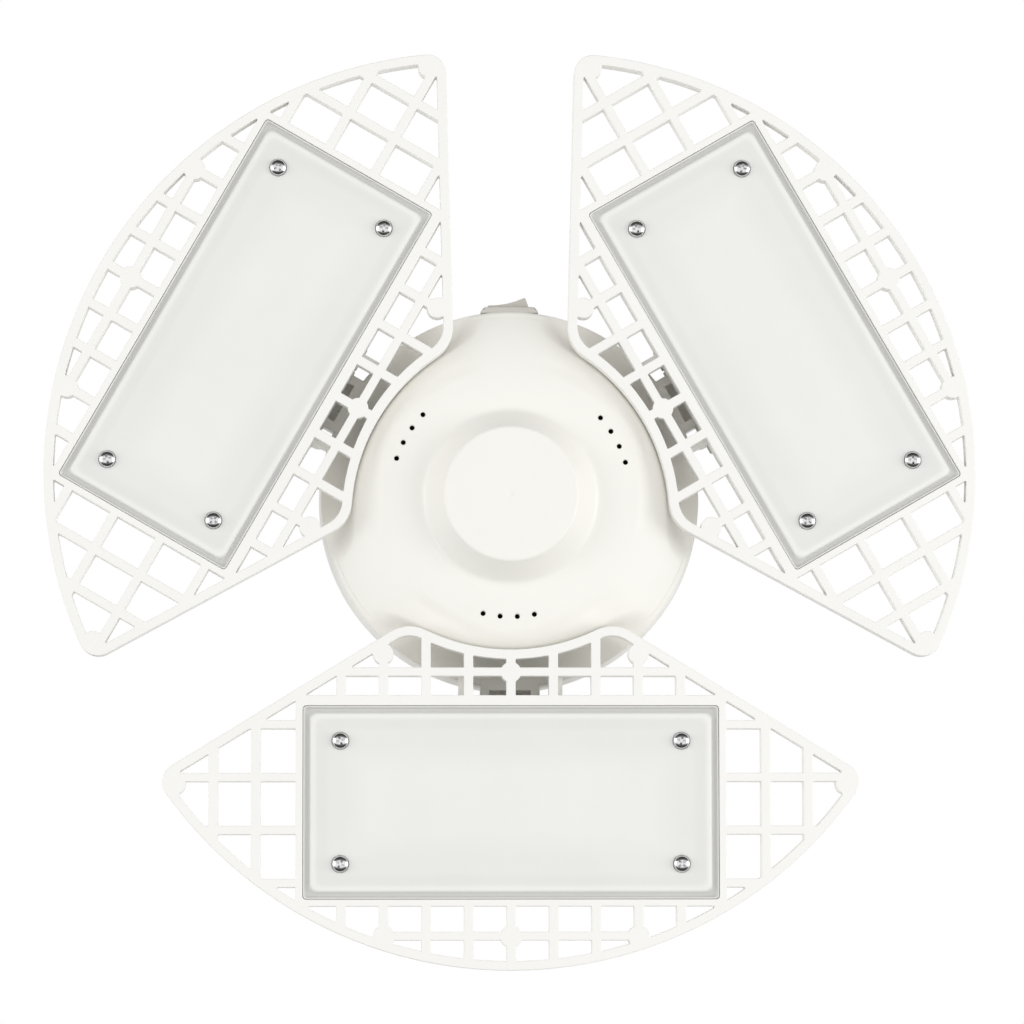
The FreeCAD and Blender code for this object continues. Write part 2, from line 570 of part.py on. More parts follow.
def outline_wire(w, inset=0.0):
    """The wing's outline at depth w, moved inwards by inset. X is v, Y is u."""
    n = math.sqrt(1 + EDGE_SLOPE ** 2)
    rs, rt = SHOULDER_R - inset, TIP_R - inset
    su, sv = solve_fillet(SHOULDER_R, ARC_IN_C, ARC_IN_R + SHOULDER_R, 33.0, 60.0)
    tu, tv = solve_fillet(TIP_R, ARC_OUT_C, ARC_OUT_R - TIP_R, 118.0, 103.0)

    def P(u, v):
        return V(v, u, z(w))

    nu, nv = EDGE_SLOPE / n, -1.0 / n          # outward normal of the edge
    ds = math.hypot(su, sv - ARC_IN_C)
    s_arc = (su - su / ds * rs, sv - (sv - ARC_IN_C) / ds * rs)
    s_line = (su + nu * rs, sv + nv * rs)
    a0 = math.atan2(s_arc[1] - sv, s_arc[0] - su)
    a1 = math.atan2(s_line[1] - sv, s_line[0] - su)
    am = 0.5 * (a0 + a1)
    s_mid = (su + rs * math.cos(am), sv + rs * math.sin(am))
    t_line = (tu + nu * rt, tv + nv * rt)
    dt = math.hypot(tu, tv - ARC_OUT_C)
    t_arc = (tu + tu / dt * rt, tv + (tv - ARC_OUT_C) / dt * rt)
    b0 = math.atan2(t_line[1] - tv, t_line[0] - tu)
    b1 = math.atan2(t_arc[1] - tv, t_arc[0] - tu)
    bm = 0.5 * (b0 + b1)
    t_mid = (tu + rt * math.cos(bm), tv + rt * math.sin(bm))
    e = [Part.Arc(P(-s_arc[0], s_arc[1]), P(0, ARC_IN_C + ARC_IN_R + inset), P(*s_arc)).toShape(),
         Part.Arc(P(*s_arc), P(*s_mid), P(*s_line)).toShape(),
         Part.makeLine(P(*s_line), P(*t_line)),
         Part.Arc(P(*t_line), P(*t_mid), P(*t_arc)).toShape(),
         Part.Arc(P(*t_arc), P(0, ARC_OUT_C + ARC_OUT_R - inset), P(-t_arc[0], t_arc[1])).toShape(),
         Part.Arc(P(-t_arc[0], t_arc[1]), P(-t_mid[0], t_mid[1]), P(-t_line[0], t_line[1])).toShape(),
         Part.makeLine(P(-t_line[0], t_line[1]), P(-s_line[0], s_line[1])),
         Part.Arc(P(-s_line[0], s_line[1]), P(-s_mid[0], s_mid[1]), P(-s_arc[0], s_arc[1])).toShape()]
    return Part.Wire(e)


def wing_cells():
    """The open cells of the lattice as prisms with rounded corners."""
    inner = Part.Face(outline_wire(-1.0, RIM_BAR)).extrude(V(0, 0, WING_T + 2))
    keep = []
    for k in range(-9, 10):
        if abs(k) == 5:
            continue
        u = k * PITCH_U
        keep.append(box(0, 200, u - BAR_U / 2, u + BAR_U / 2, -2, WING_T + 2))
    for k in range(-3, 3):
        v = GRID_V + (k + 0.5) * PITCH_V
        end = 3 * PITCH_U if k == 2 else 200.0      # the outermost bar ends at its pads
        keep.append(box(v - BAR_V / 2, v + BAR_V / 2, -end, end, -2, WING_T + 2))
    keep.append(box(TRAY_V0, TRAY_V1, -TRAY_U, TRAY_U, -2, WING_T + 2))
    for u, v in ((120.2, 103.5), (-120.2, 103.5), (0, 63.4), (45.8, 56.9), (-45.8, 56.9)):
        keep.append(cyl(PAD_R, -2, WING_T + 2, v, u))
    for u in (0.0, PAD_OUT_U, -PAD_OUT_U):
        keep.append(cyl(PAD_OUT_R, -2, WING_T + 2, PAD_OUT_V, u))
    cells = inner.cut(keep[0].multiFuse(keep[1:]))
    out = []
    for c in cells.Solids:
        if c.Volume < 8.0 * (WING_T + 2):
            continue
        edges = [e for e in c.Edges if abs(e.Vertexes[0].Point.x - e.Vertexes[-1].Point.x) < 1e-6
                 and abs(e.Vertexes[0].Point.y - e.Vertexes[-1].Point.y) < 1e-6 and len(e.Vertexes) == 2]
        done = None
        for r in (CELL_FILLET, 0.2):
            try:
                f = c.makeFillet(r, edges)
                if f.isValid() and f.Volume > 0:
                    done = f
                    break
            except Exception:
                pass
        out.append(done if done is not None else c)
    return out


def wing_frame():
    plate = Part.Face(outline_wire(0.0)).extrude(V(0, 0, WING_T))
    plate = plate.cut(Part.makeCompound(wing_cells()))
    tray = rr_prism(TRAY_V0, TRAY_V1, -TRAY_U, TRAY_U, 1.6, 0, TRAY_DEPTH)
    frame = plate.fuse(tray)
    # stiffening ribs on the tray's back, in line with the lattice
    ribs = []
    for k in range(-4, 5):
        v0 = 86.5 if k == 0 else TRAY_V0 + (14.0 if abs(k) == 1 else 0.5)
        ribs.append(box(v0, TRAY_V1 - 0.5, k * PITCH_U - 0.8, k * PITCH_U + 0.8, TRAY_DEPTH - 0.5, TRAY_DEPTH + 2.0))
    for k in (-1, 0, 1):
        v = GRID_V + (k + 0.5) * PITCH_V
        ribs.append(box(v - 0.8, v + 0.8, -TRAY_U + 0.5, TRAY_U - 0.5, TRAY_DEPTH - 0.5, TRAY_DEPTH + 2.0))
    frame = frame.multiFuse(ribs)
    frame = frame.cut(rr_prism(OPEN_V0, OPEN_V1, -OPEN_U, OPEN_U, 1.3, -1, TRAY_DEPTH - TRAY_FLOOR))
    # posts for the lens screws
    posts, pilot = [], []
    for su in (-1, 1):
        for sv in (-1, 1):
            posts.append(cyl(3.4, TRAY_DEPTH - 1, TRAY_DEPTH + 4, LENS_V + sv * SCREW_V, su * SCREW_U))
            pilot.append(cyl(1.5, 0, TRAY_DEPTH + 2.8, LENS_V + sv * SCREW_V, su * SCREW_U))
    frame = frame.multiFuse(posts)
    # hinge ears
    ears = []
    for s in (-1, 1):
        y0 = EAR_IN if s > 0 else -EAR_OUT
        tri = [V(62.5, y0, z(7.0)), V(62.5, y0, z(8.6)), V(67.8, y0, z(12.0)), V(AX_V - 5.6, y0, z(AX_W + 3.3)),
               V(AX_V + 5.6, y0, z(AX_W + 3.3)), V(89.0, y0, z(TRAY_DEPTH)), V(89.0, y0, z(TRAY_DEPTH - 0.8)),
               V(74.0, y0, z(TRAY_DEPTH - 0.8)), V(74.0, y0, z(7.0)), V(62.5, y0, z(7.0))]
        e = Part.Face(Part.makePolygon(tri)).extrude(V(0, EAR_OUT - EAR_IN, 0))
        e = e.fuse(cyl_y(EAR_R, y0, y0 + EAR_OUT - EAR_IN, AX_V, AX_W))
        ears.append(e)
    frame = frame.fuse(ears[0]).fuse(ears[1])
    frame = frame.cut(cyl_y(EAR_BORE_R, -30, 30, AX_V, AX_W))
    # keep the tray's inside clear of the ears and drill pilots and cable hole
    frame = frame.cut(rr_prism(OPEN_V0, OPEN_V1, -OPEN_U, OPEN_U, 1.3, -1, TRAY_DEPTH - TRAY_FLOOR))
    for p in pilot:
        frame = frame.cut(p)
    frame = frame.cut(cyl(2.6, 0, 30, 94.0, 7.6))
    return solid(frame)


def lens():
    g = LENS_GAP
    v0, v1, u1 = OPEN_V0 + g, OPEN_V1 - g, OPEN_U - g
    # flange with a small lip round its edge, and the raised face inside it
    fl = rr_prism(v0, v1, -u1, u1, 1.15, 1.9, 4.6)
    lip = rr_prism(v0, v1, -u1, u1, 1.15, 1.2, 2.2)
    lip = lip.cut(rr_prism(v0 + 1.0, v1 - 1.0, -u1 + 1.0, u1 - 1.0, 0.9, 1.0, 2.4))
    i0, i1 = 2.4, 3.2
    top = Part.makeLoft([rounded_rect(v0 + i0, v1 - i0, -u1 + i0, u1 - i0, 2.6, 1.9),
                         rounded_rect(v0 + i1, v1 - i1, -u1 + i1, u1 - i1, 2.6, 0.8)], True, True)
    cap = Part.makeLoft([rounded_rect(v0 + i1, v1 - i1, -u1 + i1, u1 - i1, 2.6, 0.8),
                         rounded_rect(v0 + i1 + 0.7, v1 - i1 - 0.7, -u1 + i1 + 0.7, u1 - i1 - 0.7, 2.4, 0.5)],
                        True, True)
    body = fl.fuse(lip).fuse(top).fuse(cap)
    t = 1.8
    hol = Part.makeLoft([rounded_rect(v0 + i0 + t, v1 - i0 - t, -u1 + i0 + t, u1 - i0 - t, 2.0, 4.7),
                         rounded_rect(v0 + i1 + t, v1 - i1 - t, -u1 + i1 + t, u1 - i1 - t, 4.0, 2.3)], True, True)
    body = body.cut(hol)
    for su in (-1, 1):
        for sv in (-1, 1):
            body = body.fuse(cyl(3.9, 1.5, 8.4, LENS_V + sv * SCREW_V, su * SCREW_U))
    for su in (-1, 1):
        for sv in (-1, 1):
            body = body.cut(cyl(1.6, -1, 9, LENS_V + sv * SCREW_V, su * SCREW_U))
    return solid(body)


def led_board():
    b = rr_prism(OPEN_V0 + 1.2, OPEN_V1 - 1.2, -OPEN_U + 1.2, OPEN_U - 1.2, 2.0, 8.4, 10.0)
    for su in (-1, 1):
        for sv in (-1, 1):
            b = b.cut(cyl(1.6, 8, 11, LENS_V + sv * SCREW_V, su * SCREW_U))
    b = b.cut(cyl(1.6, 8, 11, 94.0, 7.6))
    return solid(b)


def led_chips():
    out = []
    for i in range(12):
        for j in range(5):
            u = (i - 5.5) * 11.4
            v = LENS_V + (j - 2) * 12.6
            if math.hypot(u - 7.6, v - 94.0) < 4 or min(
                    math.hypot(abs(u) - SCREW_U, abs(v - LENS_V) - SCREW_V) for _ in (0,)) < 6.2:
                continue
            out.append(box(v - 1.4, v + 1.4, u - 1.75, u + 1.75, 7.6, 8.4))
    return group(out)


def hinge_bolt():
    s = cyl_y(BOLT_R, EAR_OUT * -1, 24.3 - 0.5, AX_V, AX_W)
    s = s.fuse(revolve_y([(0, 23.8), (BOLT_R, 23.8), (BOLT_R - 0.5, 24.3), (0, 24.3)], AX_V, AX_W))
    head = revolve_y([(0, -21.5), (2.6, -21.5), (3.7, -20.6), (3.9, -19.6), (3.9, -18.7), (0, -18.7)], AX_V, AX_W)
    b = s.fuse(head)
    rec = cross_recess(1.9, 2.3, 0.55)
    rec.rotate(V(0, 0, 0), V(1, 0, 0), -90)
    rec.translate(V(AX_V, -21.5, z(AX_W)))
    return solid(b.cut(rec))


def hinge_nut():
    h = hex_y(7.0, EAR_OUT, EAR_OUT + 3.2, AX_V, AX_W)
    ch = revolve_y([(0, EAR_OUT), (3.6, EAR_OUT), (4.05, EAR_OUT + 0.35), (4.05, EAR_OUT + 2.85),
                    (3.6, EAR_OUT + 3.2), (0, EAR_OUT + 3.2)], AX_V, AX_W)
    return solid(h.common(ch).cut(cyl_y(BOLT_R + 0.02, 0, 40, AX_V, AX_W)))


FW = 1.6
FW_R = 4.2
SPRING_R = 4.1


def friction_washers():
    out = []
    for s in (-1, 1):
        y0, y1 = sorted((s * (KNUCKLE_HALF + 0.05), s * (KNUCKLE_HALF + 0.05 + FW)))
        out.append(cyl_y(FW_R, y0, y1, AX_V, AX_W).cut(cyl_y(EAR_BORE_R, -20, 20, AX_V, AX_W)))
    return group(out)


def spring_washers():
    out = []
    a, b = KNUCKLE_HALF + 0.05 + FW, EAR_IN
    m = 0.5 * (a + b)
    for s in (-1, 1):
        for q0, q1, sign in ((a, m, 1), (m, b, -1)):
            h = (q1 - q0) - 0.7
            if sign > 0:
                pts = [(2.1, q0), (SPRING_R, q0 + h), (SPRING_R, q0 + h + 0.7), (2.1, q0 + 0.7)]
            else:
                pts = [(SPRING_R, q0), (2.1, q0 + h), (2.1, q0 + h + 0.7), (SPRING_R, q0 + 0.7)]
            out.append(revolve_y([(r, s * y) for r, y in pts], AX_V, AX_W))
    return group(out)


def wing_grommet():
    g = revolve([(1.4, 10.2), (2.6, 10.2), (2.6, 12.0), (3.9, 12.0), (3.6, 13.2), (2.4, 14.6), (1.4, 14.6)])
    g.translate(V(94.0, 7.6, 0))
    return g


lens_screw = pan_screw(2.9, 1.9, 1.5, 13.8)
made = {
    "frame": wing_frame(),
    "lens": lens(),
    "led_board": led_board(),
    "led_chips": led_chips(),
    "lens_screws": group([moved(lens_screw, LENS_V + sv * SCREW_V, su * SCREW_U, 0.5)
                          for su in (-1, 1) for sv in (-1, 1)]),
    "hinge_bolt": hinge_bolt(),
    "hinge_nut": hinge_nut(),
    "friction_washers": friction_washers(),
    "spring_washers": spring_washers(),
    "grommet": wing_grommet(),
}
for name, deg in WINGS:
    for part, shape in made.items():
        export("%s_%s" % (name, part), turn(shape, deg))
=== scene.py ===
import math

import bmesh
import bpy
from mathutils import Matrix, Vector
from mathutils.geometry import tessellate_polygon


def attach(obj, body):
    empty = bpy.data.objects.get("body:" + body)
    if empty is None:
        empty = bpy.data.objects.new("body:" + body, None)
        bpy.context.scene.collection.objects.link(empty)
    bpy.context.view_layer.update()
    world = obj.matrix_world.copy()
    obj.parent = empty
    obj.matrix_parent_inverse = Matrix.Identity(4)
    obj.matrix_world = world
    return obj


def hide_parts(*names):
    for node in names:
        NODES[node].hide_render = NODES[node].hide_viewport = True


# Deformable garage light seen from below: a round hub with a rocker switch
# and three folding lattice wings, each with a frosted lens on an LED tray.
# Metres, in the row frame: +Z up to the lamp holder, the light faces -Z.

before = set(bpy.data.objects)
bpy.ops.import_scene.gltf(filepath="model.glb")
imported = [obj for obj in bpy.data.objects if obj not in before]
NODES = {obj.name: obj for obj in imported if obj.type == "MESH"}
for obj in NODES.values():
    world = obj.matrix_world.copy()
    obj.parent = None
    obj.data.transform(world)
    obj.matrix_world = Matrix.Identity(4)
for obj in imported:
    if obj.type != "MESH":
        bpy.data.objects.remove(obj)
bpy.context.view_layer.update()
W0 = 95.0                      # millimetres from the wings' front plane to the tip
WINGS = (("wing_a", 270.0), ("wing_b", 30.0), ("wing_c", 150.0))


def mm(x, y, w):
    """A point of the row frame in metres from millimetres and depth w."""
    return (x * 0.001, y * 0.001, (w - W0) * 0.001)


# ------------------------------------------------------------------ materials
def new_mat(name):
    m = bpy.data.materials.new(name)
    m.use_nodes = True
    t = m.node_tree
    bsdf = t.nodes["Principled BSDF"]
    return m, t, bsdf


def add(t, kind, **props):
    n = t.nodes.new(kind)
    for k, v in props.items():
        setattr(n, k, v)
    return n


def noise(t, coord, scale, detail=3.0, rough=0.55, stretch=None):
    n = add(t, "ShaderNodeTexNoise")
    n.inputs["Scale"].default_value = scale
    n.inputs["Detail"].default_value = detail
    n.inputs["Roughness"].default_value = rough
    src = coord
    if stretch:
        mp = add(t, "ShaderNodeMapping")
        mp.inputs["Scale"].default_value = stretch
        t.links.new(coord, mp.inputs["Vector"])
        src = mp.outputs["Vector"]
    t.links.new(src, n.inputs["Vector"])
    return n.outputs["Fac"]


def ramp(t, fac, stops):
    r = add(t, "ShaderNodeValToRGB")
    el = r.color_ramp.elements
    while len(el) < len(stops):
        el.new(0.5)
    for e, (p, c) in zip(el, stops):
        e.position = p
        e.color = (c[0], c[1], c[2], 1.0) if hasattr(c, "__len__") else (c, c, c, 1.0)
    t.links.new(fac, r.inputs["Fac"])
    return r.outputs["Color"]


def span(t, fac, lo, hi, a=0.0, b=1.0):
    r = add(t, "ShaderNodeMapRange")
    r.inputs["From Min"].default_value = lo
    r.inputs["From Max"].default_value = hi
    r.inputs["To Min"].default_value = a
    r.inputs["To Max"].default_value = b
    t.links.new(fac, r.inputs["Value"])
    return r.outputs["Result"]


def bump(t, bsdf, height, strength, dist, after=None):
    b = add(t, "ShaderNodeBump")
    b.inputs["Strength"].default_value = strength
    b.inputs["Distance"].default_value = dist
    t.links.new(height, b.inputs["Height"])
    if after is not None:
        t.links.new(after, b.inputs["Normal"])
    t.links.new(b.outputs["Normal"], bsdf.inputs["Normal"])
    return b.outputs["Normal"]


def mix(t, fac, a, b):
    m = add(t, "ShaderNodeMix", data_type="RGBA")
    for sock, val in ((m.inputs[0], fac), (m.inputs[6], a), (m.inputs[7], b)):
        if hasattr(val, "is_output"):
            t.links.new(val, sock)
        elif hasattr(val, "__len__"):
            sock.default_value = (val[0], val[1], val[2], 1.0)
        else:
            sock.default_value = val
    return m.outputs[2]


def obj_coord(t):
    return add(t, "ShaderNodeTexCoord").outputs["Object"]


def moulded(name, color, rough=0.42, spread=0.012, grain=0.05, spec=0.42, cells=2600.0):
    """Injection-moulded plastic: faint cloudy colour, fine spark-eroded grain."""
    m, t, b = new_mat(name)
    c = obj_coord(t)
    cloud = noise(t, c, 26.0, 4.0, 0.6)
    dark = tuple(x * (1.0 - spread * 1.6) for x in color)
    light = tuple(min(x * (1.0 + spread), 1.0) for x in color)
    col = ramp(t, cloud, [(0.30, dark), (0.52, color), (0.74, light)])
    t.links.new(col, b.inputs["Base Color"])
    fine = noise(t, c, cells, 2.0, 0.6)
    mid = noise(t, c, 190.0, 3.0, 0.55)
    t.links.new(span(t, mid, 0.3, 0.7, rough - 0.05, rough + 0.06), b.inputs["Roughness"])
    n1 = bump(t, b, mid, grain * 0.8, 0.0002)
    bump(t, b, fine, grain, 0.00006, n1)
    b.inputs["Specular IOR Level"].default_value = spec
    return m


def metal(name, color, rough, spread=0.05, brush=None, grain=0.05, cells=900.0):
    m, t, b = new_mat(name)
    c = obj_coord(t)
    b.inputs["Metallic"].default_value = 1.0
    n = noise(t, c, 240.0, 4.0, 0.6, brush)
    dark = tuple(x * (1 - spread * 2) for x in color)
    light = tuple(min(x * (1 + spread), 1.0) for x in color)
    t.links.new(ramp(t, n, [(0.3, dark), (0.5, color), (0.72, light)]), b.inputs["Base Color"])
    f = noise(t, c, cells, 3.0, 0.6, brush)
    t.links.new(span(t, f, 0.3, 0.7, max(rough - 0.05, 0.02), rough + 0.07), b.inputs["Roughness"])
    bump(t, b, f, grain, 0.00004)
    return m


WHITE = (0.90, 0.885, 0.835)
LATTICE = (0.895, 0.888, 0.855)
m_housing = moulded("mat_white_housing", WHITE, rough=0.40, spread=0.008, grain=0.05)
m_lattice = moulded("mat_white_lattice", LATTICE, rough=0.45, spread=0.008, grain=0.05)
# the switch bezel and rocker: light grey plastic given darker greys for the shade they sit in, painted shade, the
# rocker darker still
m_switch_painted_shade = moulded("mat_switch_painted_shade", (0.70, 0.68, 0.63), rough=0.45, spread=0.02, grain=0.05)
m_rocker_painted_shade = moulded("mat_rocker_painted_shade", (0.605, 0.582, 0.532), rough=0.38, spread=0.02, grain=0.04)
m_nylon = moulded("mat_nylon_washer", (0.78, 0.76, 0.68), rough=0.35, spread=0.02, grain=0.03)
m_rubber = moulded("mat_grommet_rubber", (0.62, 0.61, 0.58), rough=0.75, spread=0.06, grain=0.12, spec=0.2)
m_dark = moulded("mat_component_dark", (0.035, 0.035, 0.037), rough=0.55, spread=0.15, grain=0.15)
m_sleeve = moulded("mat_capacitor_sleeve", (0.03, 0.045, 0.10), rough=0.25, spread=0.1, grain=0.03)
m_wire = moulded("mat_wire_sleeve", (0.55, 0.05, 0.04), rough=0.4, spread=0.05, grain=0.04)
m_chrome = metal("mat_chrome_screw", (0.80, 0.80, 0.80), 0.10, spread=0.03, grain=0.02)
m_plated = metal("mat_plated_screw", (0.60, 0.60, 0.61), 0.30, spread=0.06, grain=0.08)
m_hinge = metal("mat_hinge_steel", (0.56, 0.555, 0.55), 0.28, spread=0.06, grain=0.08)
m_spring = metal("mat_spring_steel", (0.36, 0.355, 0.36), 0.33, spread=0.10, grain=0.10)
m_terminal = metal("mat_terminal_metal", (0.76, 0.60, 0.30), 0.25, spread=0.05, grain=0.05)
m_contact = metal("mat_contact_metal", (0.72, 0.66, 0.50), 0.30, spread=0.07, grain=0.08)


def base_metal():
    """Rolled and plated shell: bright, with fine lines round it and dulled patches."""
    m, t, b = new_mat("mat_base_metal")
    c = obj_coord(t)
    b.inputs["Metallic"].default_value = 1.0
    lines = noise(t, c, 1.0, 2.0, 0.5, (300.0, 300.0, 9000.0))
    patch = noise(t, c, 90.0, 4.0, 0.65)
    t.links.new(ramp(t, patch, [(0.32, (0.60, 0.585, 0.55)), (0.5, (0.73, 0.72, 0.70)), (0.7, (0.80, 0.795, 0.78))]),
                b.inputs["Base Color"])
    t.links.new(span(t, patch, 0.3, 0.7, 0.30, 0.16), b.inputs["Roughness"])
    bump(t, b, lines, 0.12, 0.00003)
    return m


def glassy_black():
    m, t, b = new_mat("mat_black_insulator")
    c = obj_coord(t)
    swirl = noise(t, c, 150.0, 5.0, 0.6)
    t.links.new(ramp(t, swirl, [(0.35, (0.006, 0.006, 0.007)), (0.7, (0.030, 0.026, 0.028))]), b.inputs["Base Color"])
    t.links.new(span(t, swirl, 0.3, 0.7, 0.06, 0.16), b.inputs["Roughness"])
    bump(t, b, swirl, 0.10, 0.0003)
    b.inputs["Coat Weight"].default_value = 0.4
    return m


def circuit_board():
    """Solder mask with lighter tracks under it and bare tinned pads."""
    m, t, b = new_mat("mat_circuit_board")
    c = obj_coord(t)
    v = add(t, "ShaderNodeTexVoronoi", feature="DISTANCE_TO_EDGE", distance="MANHATTAN")
    v.inputs["Scale"].default_value = 210.0
    t.links.new(c, v.inputs["Vector"])
    track = ramp(t, v.outputs["Distance"], [(0.0, (0.018, 0.16, 0.05)), (0.07, (0.018, 0.16, 0.05)), (0.09, (0.010, 0.075, 0.028))])
    dots = add(t, "ShaderNodeTexVoronoi")
    dots.inputs["Scale"].default_value = 210.0
    t.links.new(c, dots.inputs["Vector"])
    pad = span(t, dots.outputs["Distance"], 0.16, 0.13)
    t.links.new(mix(t, pad, track, (0.62, 0.61, 0.58)), b.inputs["Base Color"])
    t.links.new(span(t, pad, 0.0, 1.0, 0.28, 0.22), b.inputs["Roughness"])
    t.links.new(pad, b.inputs["Metallic"])
    bump(t, b, v.outputs["Distance"], 0.2, 0.0001)
    return m


def ferrite():
    """Copper wire wound round the coated ring, drawn as stripes across it."""
    m, t, b = new_mat("mat_choke_ferrite")
    c = obj_coord(t)
    mp = add(t, "ShaderNodeMapping")
    mp.inputs["Location"].default_value = (0.012, 0.014, 0.0)
    t.links.new(c, mp.inputs["Vector"])
    grad = add(t, "ShaderNodeTexGradient", gradient_type="RADIAL")
    t.links.new(mp.outputs["Vector"], grad.inputs["Vector"])
    mul = add(t, "ShaderNodeMath", operation="MULTIPLY")
    mul.inputs[1].default_value = 26.0 * 2 * math.pi
    t.links.new(grad.outputs["Fac"], mul.inputs[0])
    sn = add(t, "ShaderNodeMath", operation="SINE")
    t.links.new(mul.outputs[0], sn.inputs[0])
    wire = span(t, sn.outputs[0], -0.2, 0.2)
    t.links.new(mix(t, wire, (0.05, 0.12, 0.05), (0.45, 0.16, 0.05)), b.inputs["Base Color"])
    t.links.new(span(t, wire, 0.0, 1.0, 0.5, 0.25), b.inputs["Roughness"])
    bump(t, b, sn.outputs[0], 0.5, 0.0003)
    return m


def led_board():
    """White solder mask on aluminium with faint tracks."""
    m, t, b = new_mat("mat_led_board")
    c = obj_coord(t)
    v = add(t, "ShaderNodeTexBrick")
    v.inputs["Color1"].default_value = (0.86, 0.86, 0.85, 1)
    v.inputs["Color2"].default_value = (0.84, 0.84, 0.835, 1)
    v.inputs["Mortar"].default_value = (0.74, 0.74, 0.72, 1)
    v.inputs["Scale"].default_value = 60.0
    v.inputs["Mortar Size"].default_value = 0.03
    t.links.new(c, v.inputs["Vector"])
    t.links.new(v.outputs["Color"], b.inputs["Base Color"])
    t.links.new(span(t, noise(t, c, 500.0), 0.3, 0.7, 0.3, 0.42), b.inputs["Roughness"])
    bump(t, b, v.outputs["Fac"], 0.2, 0.00005)
    return m


def phosphor():
    """Yellow phosphor in the middle of a white package."""
    m, t, b = new_mat("mat_led_phosphor")
    c = obj_coord(t)
    n = noise(t, c, 1600.0, 3.0, 0.6)
    t.links.new(ramp(t, n, [(0.3, (0.80, 0.62, 0.12)), (0.6, (0.86, 0.72, 0.22)), (0.8, (0.88, 0.80, 0.45))]),
                b.inputs["Base Color"])
    t.links.new(span(t, n, 0.3, 0.7, 0.3, 0.5), b.inputs["Roughness"])
    bump(t, b, n, 0.1, 0.00005)
    return m


m_base = base_metal()
m_black = glassy_black()
m_board = circuit_board()
m_choke = ferrite()
m_ledboard = led_board()
m_phos = phosphor()


def lens_material():
    """Frosted polycarbonate with an even fine frost and faint cloudiness. The edge tone scales its colour as painted
    shade: greyer on the sloping side, darkest in the groove inside the rim."""
    m, t, b = new_mat("mat_frosted_lens")
    c = obj_coord(t)
    a = add(t, "ShaderNodeAttribute", attribute_name="edge")
    # the edge tone is painted shade, taken from the lens pan's rings
    shade_tone = ramp(t, a.outputs["Fac"], [(0.0, (0.0, 0.0, 0.0)), (1.0, (1.0, 0.998, 0.972))])
    cloud = noise(t, c, 30.0, 4.0, 0.6)
    shade = ramp(t, cloud, [(0.3, (0.975, 0.975, 0.975)), (0.7, (1.0, 1.0, 0.995))])
    mul = add(t, "ShaderNodeMix", data_type="RGBA", blend_type="MULTIPLY")
    mul.inputs[0].default_value = 1.0
    t.links.new(shade_tone, mul.inputs[6])
    t.links.new(shade, mul.inputs[7])
    t.links.new(mul.outputs[2], b.inputs["Base Color"])
    frost = noise(t, c, 3800.0, 3.0, 0.65)
    t.links.new(span(t, frost, 0.3, 0.7, 0.36, 0.5), b.inputs["Roughness"])
    bump(t, b, frost, 0.07, 0.00005)
    b.inputs["IOR"].default_value = 1.58
    return m


m_lens = lens_material()

MATS = {
    "hub_front_shell": m_housing, "hub_rear_cover": m_housing, "cover_screws": m_plated, "screw_shell": m_base,
    "base_insulator": m_black, "centre_contact": m_contact, "driver_board": m_board, "board_screws": m_plated,
    "transformer": m_dark, "capacitors": m_sleeve, "choke": m_choke, "driver_chips": m_dark,
    "switch_housing": m_switch_painted_shade, "switch_rocker": m_rocker_painted_shade, "switch_terminals": m_terminal, "hub_wires": m_wire,
    "hub_grommets": m_rubber, "frame": m_lattice, "lens": m_lens, "led_board": m_ledboard, "led_chips": m_phos,
    "lens_screws": m_chrome, "hinge_bolt": m_hinge, "hinge_nut": m_hinge, "friction_washers": m_nylon,
    "spring_washers": m_spring, "grommet": m_rubber,
}


def set_material(o, m):
    o.data.materials.clear()
    o.data.materials.append(m)


def soften(o, width, segments=2, angle=35.0):
    """Welds a CAD node's faces, rounds its edges and evens its normals."""
    w = o.modifiers.new("weld", "WELD")
    w.merge_threshold = 2e-6
    b = o.modifiers.new("round", "BEVEL")
    b.width = width
    b.segments = segments
    b.limit_method = "ANGLE"
    b.angle_limit = math.radians(angle)
    b.use_clamp_overlap = False
    b.miter_outer = "MITER_ARC"
    n = o.modifiers.new("normals", "WEIGHTED_NORMAL")
    n.keep_sharp = False
    n.weight = 60


for name, o in NODES.items():
    key = name[7:] if name.startswith("wing_") else name
    set_material(o, MATS[key])

soften(NODES["switch_housing"], 0.00035)
soften(NODES["switch_rocker"], 0.00018)


# ------------------------------------------------------------------ mesh help
def make_object(name, verts, faces, mat, body, smooth=True):
    me = bpy.data.meshes.new(name)
    me.from_pydata([tuple(v) for v in verts], [], faces)
    me.validate()
    me.update()
    bm = bmesh.new()
    bm.from_mesh(me)
    bmesh.ops.recalc_face_normals(bm, faces=bm.faces)
    bm.to_mesh(me)
    bm.free()
    for p in me.polygons:
        p.use_smooth = smooth
    o = bpy.data.objects.new(name, me)
    bpy.context.scene.collection.objects.link(o)
    me.materials.append(mat)
    if body:
        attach(o, body)
    return o


